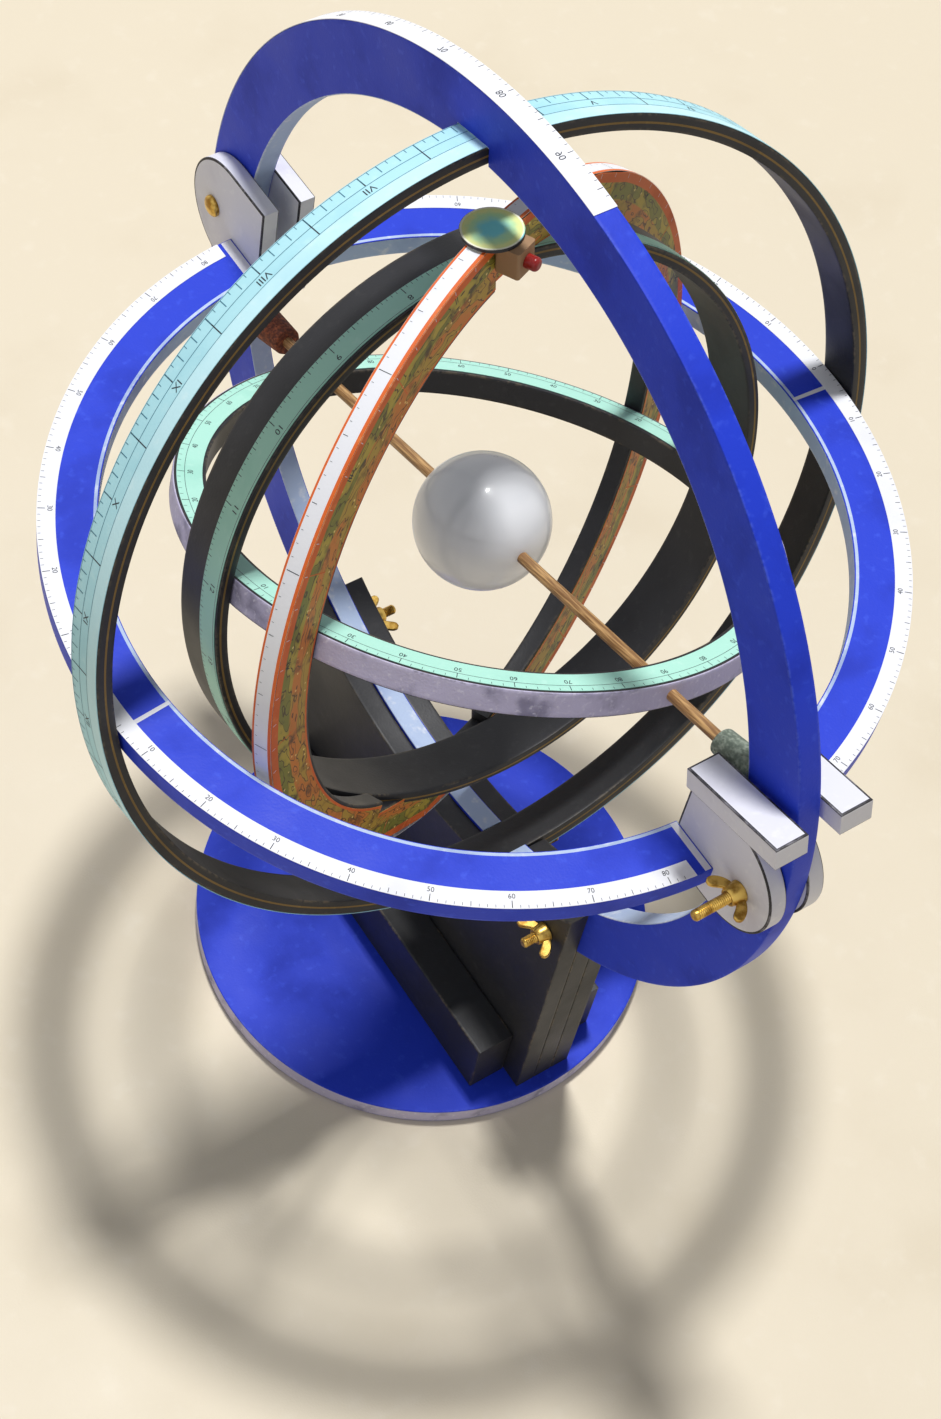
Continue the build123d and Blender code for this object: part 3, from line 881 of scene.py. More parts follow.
@dataclass(frozen=True)
class SunFinish:
    """The sun disc's print: a cyan middle that runs through green to a pale yellow rim."""

    name: str
    middle: tuple
    between: tuple
    rim: tuple
    border: tuple
    radius: float

    def material(self, effects: Effects) -> Material:
        """Builds the material on the disc's UV, whose length is the distance from its middle.

        Args:
            effects: the shared node groups.

        Returns:
            The material.
        """
        made = bpy.data.materials.new(self.name)
        made.use_nodes = True
        tree = made.node_tree
        nodes = Nodes(tree)
        shader = tree.nodes["Principled BSDF"]
        uv = nodes.add("ShaderNodeTexCoord").outputs["UV"]
        out = nodes.add("ShaderNodeVectorMath", {0: uv}, operation="LENGTH").outputs["Value"]
        cloud = nodes.add("ShaderNodeTexNoise", {"Vector": uv, "Scale": 260.0, "Detail": 3.0}).outputs[0]
        shaken = nodes.maths("ADD", out, nodes.maths("MULTIPLY", nodes.maths("SUBTRACT", cloud, 0.5), self.radius * 0.35))
        inner = nodes.mix(nodes.ramp(shaken, self.radius * 0.25, self.radius * 0.62), self.middle, self.between)
        outer = nodes.mix(nodes.ramp(shaken, self.radius * 0.6, self.radius * 0.85), inner, self.rim)
        printed = nodes.mix(nodes.ramp(out, self.radius * 0.9, self.radius * 0.93), outer, self.border)
        tree.links.new(printed, shader.inputs["Base Color"])
        shader.inputs["Roughness"].default_value = 0.7
        shader.inputs["Specular IOR Level"].default_value = 0.2
        grain = nodes.add("ShaderNodeGroup", node_tree=effects.grain)
        grain.inputs["Strength"].default_value = 0.15
        tree.links.new(nodes.add("ShaderNodeTexCoord").outputs["Object"], grain.inputs["Vector"])
        tree.links.new(grain.outputs["Normal"], shader.inputs["Normal"])
        return made


class Palette:
    """Every material of the instrument, each built once."""

    def __init__(self) -> None:
        """Builds the shared effects and the materials."""
        effects = Effects()
        white = linear(238, 238, 242)
        self.blue = BoardFinish(
            "royal_blue_paint",
            linear(34, 62, 206),
            linear(24, 44, 164),
            linear(58, 88, 226),
            linear(92, 116, 226),
            roughness=0.5,
            mottling=0.55,
            wave=0.2,
            shine=0.22,
            wear=0.35,
        ).material(effects)
        self.bare_edge = BoardFinish(
            "pale_cut_edge", linear(178, 196, 226), linear(120, 140, 190), white, white, roughness=0.6, mottling=0.6
        ).material(effects)
        self.black = BoardFinish(
            "black_card",
            linear(30, 30, 33),
            linear(16, 16, 18),
            linear(52, 51, 52),
            linear(104, 92, 74),
            roughness=0.5,
            mottling=0.5,
            coat=0.05,
        ).material(effects)
        self.brown_line = BoardFinish(
            "brown_board_core", linear(126, 98, 44), linear(70, 52, 26), linear(176, 148, 74), linear(186, 160, 96)
        ).material(effects)
        self.white_board = BoardFinish(
            "white_foam_board",
            linear(226, 226, 234),
            linear(196, 194, 208),
            white,
            linear(120, 112, 110),
            roughness=0.6,
            mottling=0.6,
            wear=0.3,
        ).material(effects)
        self.marker_line = BoardFinish(
            "black_marker_line", linear(34, 32, 38), linear(20, 20, 24), linear(70, 68, 74), linear(150, 148, 156)
        ).material(effects)
        self.white_paper = BoardFinish(
            "white_scale_paper", linear(236, 237, 242), linear(214, 215, 226), white, linear(206, 208, 220), mottling=0.4
        ).material(effects)
        self.lilac_paper = BoardFinish(
            "lilac_edge_paper",
            linear(196, 190, 216),
            linear(120, 116, 142),
            linear(230, 226, 240),
            linear(110, 106, 124),
            mottling=0.8,
            cloud_scale=60.0,
            wave=0.6,
            grain=0.5,
        ).material(effects)
        self.cyan_paper = BoardFinish(
            "cyan_scale_paper", linear(176, 226, 236), linear(140, 200, 216), linear(206, 242, 246), linear(130, 176, 190)
        ).material(effects)
        self.pale_cyan_paper = BoardFinish(
            "pale_cyan_margin", linear(196, 236, 244), linear(160, 212, 226), linear(222, 246, 250), linear(140, 186, 200)
        ).material(effects)
        self.mint_paper = BoardFinish(
            "mint_scale_paper", linear(178, 232, 214), linear(140, 204, 186), linear(206, 244, 230), linear(120, 170, 156)
        ).material(effects)
        self.orange = BoardFinish(
            "orange_border", linear(222, 104, 38), linear(176, 70, 24), linear(238, 142, 70), linear(244, 196, 150), mottling=0.6
        ).material(effects)
        self.ink = BoardFinish(
            "printed_ink", linear(38, 44, 54), linear(24, 28, 36), linear(70, 78, 92), linear(90, 96, 110), wear=0.0
        ).material(effects)
        self.teal_ink = BoardFinish(
            "printed_teal_ink", linear(64, 120, 142), linear(44, 92, 112), linear(100, 150, 168), linear(120, 170, 182), wear=0.0
        ).material(effects)
        self.rod = WoodFinish(
            "bamboo_rod", linear(206, 164, 108), linear(128, 90, 52), 0.45, (1.0, 0.06, 1.0), 900.0, 0.3
        ).material(effects)
        self.cork = WoodFinish(
            "cork_grain", linear(158, 82, 44), linear(78, 34, 18), 0.75, (1.0, 1.0, 1.0), 420.0, 0.6
        ).material(effects)
        self.green_cork = WoodFinish(
            "grey_green_cork", linear(150, 160, 146), linear(92, 104, 92), 0.7, (1.0, 1.0, 1.0), 380.0, 0.4
        ).material(effects)
        self.clip = WoodFinish(
            "clip_cork", linear(204, 168, 128), linear(128, 92, 62), 0.7, (1.0, 1.0, 1.0), 380.0, 0.5
        ).material(effects)
        self.ball = BoardFinish(
            "white_ball_paint",
            linear(236, 237, 240),
            linear(214, 216, 222),
            white,
            white,
            roughness=0.34,
            mottling=0.25,
            wave=0.03,
            grain=0.04,
            coat=0.45,
            coat_roughness=0.1,
        ).material(effects)
        self.brass = MetalFinish("brass_fastener", linear(212, 176, 92), linear(150, 112, 48), 0.28).material(effects)
        self.chart = ChartFinish(
            "chart_print", linear(128, 126, 40), linear(186, 162, 52), linear(78, 60, 24), linear(238, 214, 130)
        ).material(
            effects
        )
        self.warm_chart = ChartFinish(
            "warm_chart_print", linear(184, 148, 50), linear(208, 124, 42), linear(92, 56, 22), linear(240, 210, 130)
        ).material(effects)
        self.sun = SunFinish(
            "sun_print",
            linear(126, 212, 222),
            linear(186, 226, 176),
            linear(226, 232, 158),
            linear(244, 243, 216),
            12.8 * MM,
        ).material(effects)
        self.red = BoardFinish(
            "pin_head_red", linear(142, 22, 20), linear(84, 12, 12), linear(190, 60, 50), linear(200, 90, 80), roughness=0.3
        ).material(effects)
        self.floor = BoardFinish(
            "pale_floor", linear(226, 214, 190), linear(216, 202, 176), linear(234, 224, 204), white, mottling=0.4, cloud_scale=9.0
        ).material(effects)


# Printed marks


class Lay(Enum):
    """What a printed mark lies on: a ring's outer edge or its annular face."""

    ON_EDGE = 0
    ON_FACE = 1


@dataclass
class Print:
    """Marks printed on one scale, gathered as flat shapes a hair above the paper."""

    axes: Axes
    lay: Lay
    level: float
    reading_radius: float
    turned: int = 1
    upward: int = 1
    patches: list = field(default_factory=list)

    def place(self, angle: Array, across: Array) -> Array:
        """Places points at an angle round the ring and a distance across the paper."""
        if self.lay is Lay.ON_EDGE:
            return self.axes.polar(self.level + LIFT, angle, across)
        return self.axes.polar(across, angle, np.full_like(angle, self.level + LIFT))

    def ticks(self, angles: Array, start: float, end: float, width: float, finish: int = 0) -> None:
        """Adds one thin bar at each angle, from start to end across the paper.

        Args:
            angles: the bars' angles.
            start: where the bars start across the paper.
            end: where they end.
            width: their width.
            finish: finish number.
        """
        half = width / 2 / self.reading_radius
        corner_angles = np.stack([angles - half, angles + half, angles + half, angles - half], axis=1)
        corner_across = np.broadcast_to(np.array([start, start, end, end]), corner_angles.shape)
        points = self.place(corner_angles, corner_across).reshape(-1, 3)
        faces = np.arange(len(points)).reshape(-1, 4).tolist()
        uv = np.stack([corner_angles * self.reading_radius, corner_across], axis=-1).tolist()
        self.patches.append(Patch(points, faces, [finish] * len(faces), uv, np.zeros(len(points))))

    def line(self, first: float, last: float, across: float, width: float, finish: int = 0) -> None:
        """Adds a thin line along the ring between two angles."""
        steps = max(4, int(abs(last - first) * 60))
        angles = np.linspace(first, last, steps)
        grid_angle = np.stack([angles, angles], axis=1)
        grid_across = np.broadcast_to(np.array([across - width / 2, across + width / 2]), grid_angle.shape)
        points = self.place(grid_angle, grid_across)
        uv = np.zeros((steps + 1, 3, 2))
        self.patches.append(grid_patch(points, uv, np.zeros(2), [finish, finish], False, False))

    def words(self, text: str, angle: float, across: float, height: float, finish: int = 0) -> None:
        """Adds a numeral centred at an angle and a distance across the paper.

        Args:
            text: the numeral.
            angle: its middle's angle.
            across: its middle's distance across the paper.
            height: its letters' height.
            finish: finish number.
        """
        outline, faces = Glyphs.shape(text)
        x, y = outline[:, 0] * height, outline[:, 1] * height
        angles = angle + self.turned * x / self.reading_radius
        points = self.place(angles, across + self.upward * y)
        uv = [[[0.0, 0.0]] * len(face) for face in faces]
        self.patches.append(Patch(points, faces, [finish] * len(faces), uv, np.zeros(len(points))))

    def piece(self, name: str, materials: Sequence[Material], body: str, slot: str) -> bpy.types.Object:
        """Makes the marks a piece of their own."""
        return make_piece(name, self.patches, materials, body)


class Glyphs:
    """Flat numeral meshes of height one, centred, each made once."""

    made: dict = {}

    @classmethod
    def shape(cls, text: str) -> tuple[Array, list]:
        """Returns the numeral's points and faces.

        Args:
            text: the numeral.

        Returns:
            Its flat points and its faces.
        """
        if text not in cls.made:
            curve = bpy.data.curves.new("numeral", "FONT")
            curve.body = text
            curve.resolution_u = 3
            curve.align_x = "CENTER"
            curve.align_y = "CENTER"
            holder = bpy.data.objects.new("numeral", curve)
            bpy.context.scene.collection.objects.link(holder)
            mesh = bpy.data.meshes.new_from_object(holder.evaluated_get(bpy.context.evaluated_depsgraph_get()))
            flat = np.empty(len(mesh.vertices) * 3)
            mesh.vertices.foreach_get("co", flat)
            outline = flat.reshape(-1, 3)[:, :2]
            tall = outline[:, 1].max() - outline[:, 1].min()
            middle = (outline.max(axis=0) + outline.min(axis=0)) / 2
            cls.made[text] = ((outline - middle) / tall, [list(face.vertices) for face in mesh.polygons])
            bpy.data.objects.remove(holder)
            bpy.data.curves.remove(curve)
            bpy.data.meshes.remove(mesh)
        return cls.made[text]


def roman(number: int) -> str:
    """Writes a number up to 24 in roman numerals."""
    text = ""
    for value, letters in ((10, "X"), (9, "IX"), (5, "V"), (4, "IV"), (1, "I")):
        while number >= value:
            text += letters
            number -= value
    return text


# The instrument's parts


@dataclass
class Stand:
    """Base disc, pedestal, meridian ring, horizon ring, brackets, hour ring and the pole's bearings."""

    at: Directions
    paint: Palette
    board: float = 10.5 * MM
    glue: float = 0.1 * MM
    paper: float = 0.3 * MM
    paste: float = 0.05 * MM

    def build(self) -> None:
        """Builds every fixed piece."""
        self.base()
        self.pedestal()
        self.meridian()
        self.horizon()
        self.brackets()
        self.hours()
        self.bearings()

    def node_radius(self, node: str, axis: int) -> tuple[float, float]:
        """Returns the lowest and highest corner of a CAD node along one axis, from the ring centre."""
        low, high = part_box(node)
        return low[axis] - self.at.centre[axis], high[axis] - self.at.centre[axis]

    def base(self) -> None:
        """Builds the base disc, a blue top with a paler rim."""
        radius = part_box("base_disc")[1][0]
        angles = full_turn(240)
        outline = np.stack([np.cos(angles), np.sin(angles)], axis=1) * radius
        disc = Plate(self.at.ground, outline, 0.0, self.board, face=0, side=1, edge=0)
        make_piece("base_disc_look", disc.patches(), [self.paint.blue, self.paint.lilac_paper], "stand", ["base_disc"])

    def pedestal(self) -> None:
        """Builds the core, the two cheeks with their slot for the hour ring and the two blocks."""
        centre = self.at.centre
        low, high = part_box("pedestal_cheek_west")
        foot = low[2] - centre[2]
        south, north = low[1] - centre[1], high[1] - centre[1]
        cradle = 190.0 * MM
        core_radius = self.node_radius("meridian_ring", 1)[1] + self.glue
        for side, sign in (("west", -1), ("east", 1)):
            near = self.board / 2 + self.glue
            faces = sorted([sign * near, sign * (near + self.board)])
            outline = self.cradle_outline(south, north, foot, cradle, True)
            plate = Plate(self.at.meridian, outline, faces[0], faces[1])
            name = f"pedestal_cheek_{side}"
            make_piece(f"{name}_look", plate.patches(), [self.paint.black], "stand", [name])
            block_low, block_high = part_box(f"pedestal_block_{side}")
            corners = [(block_low[1], block_low[2]), (block_high[1], block_low[2]), (block_high[1], block_high[2]), (block_low[1], block_high[2])]
            block_outline = np.array(corners) - centre[1:]
            block = Plate(self.at.meridian, block_outline, block_low[0], block_high[0], bevel=0.8 * MM)
            name = f"pedestal_block_{side}"
            make_piece(f"{name}_look", block.patches(), [self.paint.black], "stand", [name])
        outline = self.cradle_outline(south, north, foot, core_radius, False)
        core = Plate(self.at.meridian, outline, -self.board / 2, self.board / 2)
        make_piece("pedestal_core_look", core.patches(), [self.paint.black], "stand", ["pedestal_core"])

    def cradle_outline(self, south: float, north: float, foot: float, radius: float, slotted: bool) -> Array:
        """Outline of a cradle board: a rectangle whose top is an arc about the ring centre.

        Args:
            south: its south edge.
            north: its north edge.
            foot: its lower edge.
            radius: the arc's radius.
            slotted: whether the arc has the hour ring's slot.

        Returns:
            The outline's points, counter-clockwise.
        """
        first = -math.acos(north / radius)
        last = -math.acos(south / radius)
        points = [(south, foot), (north, foot)]
        pole = np.array([self.at.pole[1], self.at.pole[2]])
        upright = np.array([self.at.upright[1], self.at.upright[2]])
        slot_start, slot_end, slot_depth = -1.0 * MM, 21.0 * MM, 197.9 * MM
        inside_slot = False
        for angle in np.linspace(first, last, 90):
            point = radius * np.array([math.cos(angle), math.sin(angle)])
            along = point.dot(pole)
            if slotted and slot_start < along < slot_end:
                if not inside_slot:
                    inside_slot = True
                    for edge in (slot_start, slot_end):
                        rim = -math.sqrt(radius**2 - edge**2)
                        pair = [rim * upright + edge * pole, -slot_depth * upright + edge * pole]
                        points += [tuple(p) for p in (pair if edge == slot_start else pair[::-1])]
                continue
            points.append(tuple(point))
        return np.array(points)

    def meridian(self) -> None:
        """Builds the meridian ring with its two notches and the noon scale on its outer edge."""
        outer = self.node_radius("meridian_ring", 1)[1]
        inner = outer - 30.5 * MM
        lap = 196.1 * MM
        opening = math.asin(20.2 * MM / inner)
        top = math.pi / 2 - self.at.pole_tilt
        notches = [(top, top + opening), (top + math.pi - opening, top + math.pi)]
        angles, radii = notched_turn(notches, inner, lap)
        section = Section(inner, outer, -self.board / 2, self.board / 2, finishes={Side.INSIDE: 1})
        make_piece(
            "meridian_ring_look",
            ring_patches(self.at.meridian, section, angles, radii, True),
            [self.paint.blue, self.paint.bare_edge],
            "stand",
            ["meridian_ring"],
        )
        end = math.radians(97.4)
        start = outer + self.paste
        strip = Section(start, start + self.paper, -self.board / 2, self.board / 2, bevel=0.1 * MM)
        make_piece(
            "noon_scale_paper",
            ring_patches(self.at.meridian, strip, np.linspace(0.0, end, 140), None, False),
            [self.paint.white_paper],
            "stand",
            ["meridian_scale"],
        )
        marks = Print(self.at.meridian, Lay.ON_EDGE, start + self.paper, start, turned=1, upward=-1)
        half = self.board / 2
        marks.ticks(np.radians(np.arange(1, 97, 1)), half - 1.6 * MM, half - 0.3 * MM, 0.22 * MM)
        marks.ticks(np.radians(np.arange(5, 97, 5)), half - 2.8 * MM, half - 0.3 * MM, 0.3 * MM)
        for degrees in range(10, 97, 10):
            marks.words(str(degrees), math.radians(degrees), -0.6 * MM, 3.0 * MM)
        marks.piece("noon_scale_marks", [self.paint.ink], "stand", "white_scale")

    def horizon(self) -> None:
        """Builds the horizon ring's two halves, their bare margins and seams, and the azimuth scales."""
        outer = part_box("horizon_ring_east")[1][0]
        inner = outer - 25.5 * MM
        low = -self.board
        scale_inner = outer - 7.9 * MM
        margin = 21.0 * MM
        for side, sign in (("west", -1), ("east", 1)):
            turn = math.pi if sign < 0 else 0.0
            end = abs(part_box(f"horizon_ring_{side}")[0 if sign > 0 else 1][0])
            section = Section(
                inner,
                outer,
                low,
                0.0,
                finishes={Side.INSIDE: 1, "end": 1},
                bands={Side.ABOVE: [(outer - inner - 1.9 * MM, 1)]},
            )
            offsets, from_outer, _, _, _ = section.walk()
            radius = np.where(from_outer, outer, inner) + offsets
            reach = np.arccos(end / radius)
            share = np.linspace(-1.0, 1.0, 150)[:, None]
            angles = turn + share * reach[None, :]
            patches = ring_patches(self.at.horizon, section, angles, None, False)
            make_piece(
                f"horizon_ring_{side}_look",
                patches,
                [self.paint.blue, self.paint.bare_edge],
                "stand",
                [f"horizon_ring_{side}"],
            )
            strip = Section(scale_inner, outer, 0.0, self.paper, bevel=0.08 * MM)
            offsets, from_outer, _, _, _ = strip.walk()
            radius = np.where(from_outer, outer, scale_inner) + offsets
            angles = turn + share * np.arccos(margin / radius)[None, :]
            make_piece(
                f"azimuth_scale_{side}_paper",
                ring_patches(self.at.horizon, strip, angles, None, False),
                [self.paint.white_paper],
                "stand",
                [f"horizon_scale_{side}"],
            )
            self.azimuth_marks(side, turn, outer, margin)
            self.bare_marks(side, turn, sign, inner, scale_inner, end)

    def azimuth_marks(self, side: str, turn: float, outer: float, margin: float) -> None:
        """Prints the azimuth scale: a tick every degree, longer ones at fives and tens, and numbers."""
        marks = Print(self.at.horizon, Lay.ON_FACE, self.paper, outer, turned=1, upward=-1)
        reach = math.degrees(math.acos(margin / outer)) - 1.0
        degrees = np.arange(-math.floor(reach), math.floor(reach) + 1)
        for step, length, width in ((1, 1.3, 0.2), (5, 2.2, 0.26), (10, 3.2, 0.32)):
            chosen = degrees[degrees % step == 0]
            marks.ticks(turn + np.radians(chosen), outer - (0.4 + length) * MM, outer - 0.4 * MM, width * MM)
        for number in range(-80, 81, 10):
            marks.words(str(abs(number)), turn + math.radians(number), outer - 5.6 * MM, 2.2 * MM)
        marks.piece(f"azimuth_scale_{side}_marks", [self.paint.ink], "stand", "white_scale")

    def bare_marks(self, side: str, turn: float, sign: int, inner: float, scale_inner: float, end: float) -> None:
        """Lays the unpainted stripes on a horizon half: the seam near its middle and its end margins."""
        bare = Print(self.at.horizon, Lay.ON_FACE, 0.0, inner)
        seam = math.radians(5.6 if sign < 0 else -3.5)
        bare.ticks(np.array([turn + seam]), inner + 0.6 * MM, scale_inner, 1.8 * MM)
        for north in (-1, 1):
            width = 5.6 * MM if north > 0 else 3.4 * MM
            radii = np.linspace(inner + 0.5 * MM, inner + 25.0 * MM, 12)
            near = turn + sign * north * np.arccos((end + 0.5 * MM) / radii)
            far = turn + sign * north * np.arccos((end + width) / radii)
            points = self.at.horizon.polar(
                np.stack([radii, radii], axis=1), np.stack([near, far], axis=1), np.full((12, 2), LIFT / 2)
            )
            bare.patches.append(grid_patch(points, np.zeros((13, 3, 2)), np.zeros(2), [0, 0], False, False))
        bare.piece(f"horizon_bare_{side}", [self.paint.white_board], "stand", "white_board")

    def brackets(self) -> None:
        """Builds the four bracket plates, white faces and edges with a marker line along the corners."""
        for end, sign in (("north", 1), ("south", -1)):
            for side in ("west", "east"):
                node = f"horizon_bracket_{end}_{side}"
                low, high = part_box(node)
                top, foot = high[2] - self.at.centre[2], low[2] - self.at.centre[2]
                radius = (top - foot) / 2
                middle = (top + foot) / 2
                ends = (low[1] - self.at.centre[1], high[1] - self.at.centre[1])
                tip = ends[1] if sign > 0 else ends[0]
                start = ends[0] if sign > 0 else ends[1]
                turn = np.linspace(-math.pi / 2, math.pi / 2, 40)
                round_y = tip - sign * radius + sign * radius * np.cos(turn)
                round_z = middle + radius * np.sin(turn)
                points = [(start, foot), *zip(round_y, round_z), (start, top)]
                outline = np.array(points if sign > 0 else points[::-1])
                plate = Plate(self.at.meridian, outline, low[0], high[0], bevel=0.55 * MM, face=0, side=0, edge=1, line=0.6 * MM)
                make_piece(
                    f"{node}_look",
                    plate.patches(),
                    [self.paint.white_board, self.paint.marker_line],
                    "stand",
                    [node],
                )

    def hours(self) -> None:
        """Builds the hour ring, its paper scale and the scale's ticks and roman numerals."""
        inner = 188.4 * MM
        paper_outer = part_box("hour_scale")[1][0]
        paper_inner = paper_outer - self.paper
        width = 20.0 * MM
        line = [(3.4 * MM, 1), (4.3 * MM, 0)]
        section = Section(
            inner,
            paper_inner - self.paste,
            0.0,
            width,
            bevel=0.4 * MM,
            bands={Side.ABOVE: line, Side.BELOW: line},
        )
        angles = full_turn()
        make_piece(
            "hour_ring_look",
            ring_patches(self.at.hours, section, angles, None, True),
            [self.paint.black, self.paint.brown_line],
            "stand",
            ["hour_ring"],
        )
        strip = Section(
            paper_inner, paper_outer, 0.0, width, bevel=0.08 * MM, bands={Side.OUTSIDE: [(12.7 * MM, 1)]}
        )
        make_piece(
            "hour_scale_paper",
            ring_patches(self.at.hours, strip, angles, None, True),
            [self.paint.cyan_paper, self.paint.pale_cyan_paper],
            "stand",
            ["hour_scale"],
        )
        marks = Print(self.at.hours, Lay.ON_EDGE, paper_outer, paper_outer, turned=1, upward=1)
        step = np.arange(288)
        every = np.radians(step * 1.25)
        band = 12.6 * MM
        marks.ticks(every, 0.4 * MM, 2.6 * MM, 0.3 * MM, 1)
        marks.ticks(every[step % 2 == 0], 0.4 * MM, 5.2 * MM, 0.42 * MM, 1)
        marks.ticks(every[step % 6 == 0], 0.4 * MM, 6.6 * MM, 0.5 * MM)
        marks.ticks(every[step % 12 == 6], 0.4 * MM, band, 0.5 * MM)
        marks.line(0.0, 2 * math.pi, 0.5 * MM, 0.25 * MM, 1)
        marks.line(0.0, 2 * math.pi, 6.8 * MM, 0.3 * MM, 1)
        marks.line(0.0, 2 * math.pi, band, 0.25 * MM, 1)
        for hour in range(24):
            marks.words(roman(hour if hour else 24), math.radians(hour * 15), 9.7 * MM, 3.4 * MM)
        marks.piece("hour_scale_marks", [self.paint.ink, self.paint.teal_ink], "stand", "cyan_scale")

    def bearings(self) -> None:
        """Builds the upper pivot's block and bars and the lower pivot's cork."""
        white = [self.paint.white_board, self.paint.marker_line]
        block = np.array([(4.6, 165.6), (5.9, 165.7), (6.0, 166.1), (7.4, 187.0), (7.4, 187.6), (6.8, 187.8)])
        cork = lathe_patches(self.at.hours, block * MM, [0] * len(block))
        make_piece("pivot_block_look", cork, [self.paint.green_cork], "stand", ["pivot_block"])
        start, stop, near, far, depth = 173.4 * MM, 227.5 * MM, 7.9 * MM, 23.3 * MM, 5.3 * MM
        for side, sign in (("west", -1), ("east", 1)):
            edges = sorted((sign * near, sign * far))
            outline = np.array([(edges[0], start), (edges[1], start), (edges[1], stop), (edges[0], stop)])
            bar = Plate(self.at.bars, outline, -depth, depth, bevel=0.55 * MM, face=0, side=0, edge=1, line=0.5 * MM)
            make_piece(f"pivot_bar_{side}_look", bar.patches(), white, "stand", [f"pivot_bar_{side}"])
        ring_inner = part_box("meridian_ring")[1][1] - self.at.centre[1] - 30.5 * MM
        profile = np.array(
            [(8.5, 0.5 - ring_inner / MM), (8.4, 4 - ring_inner / MM), (6.7, 27 - ring_inner / MM), (6.3, 27.8 - ring_inner / MM), (5.6, 28 - ring_inner / MM)]
        )
        cork = lathe_patches(self.at.hours, profile * MM, [0] * len(profile))
        make_piece("pivot_cork_look", cork, [self.paint.cork], "stand", ["pivot_cork"])


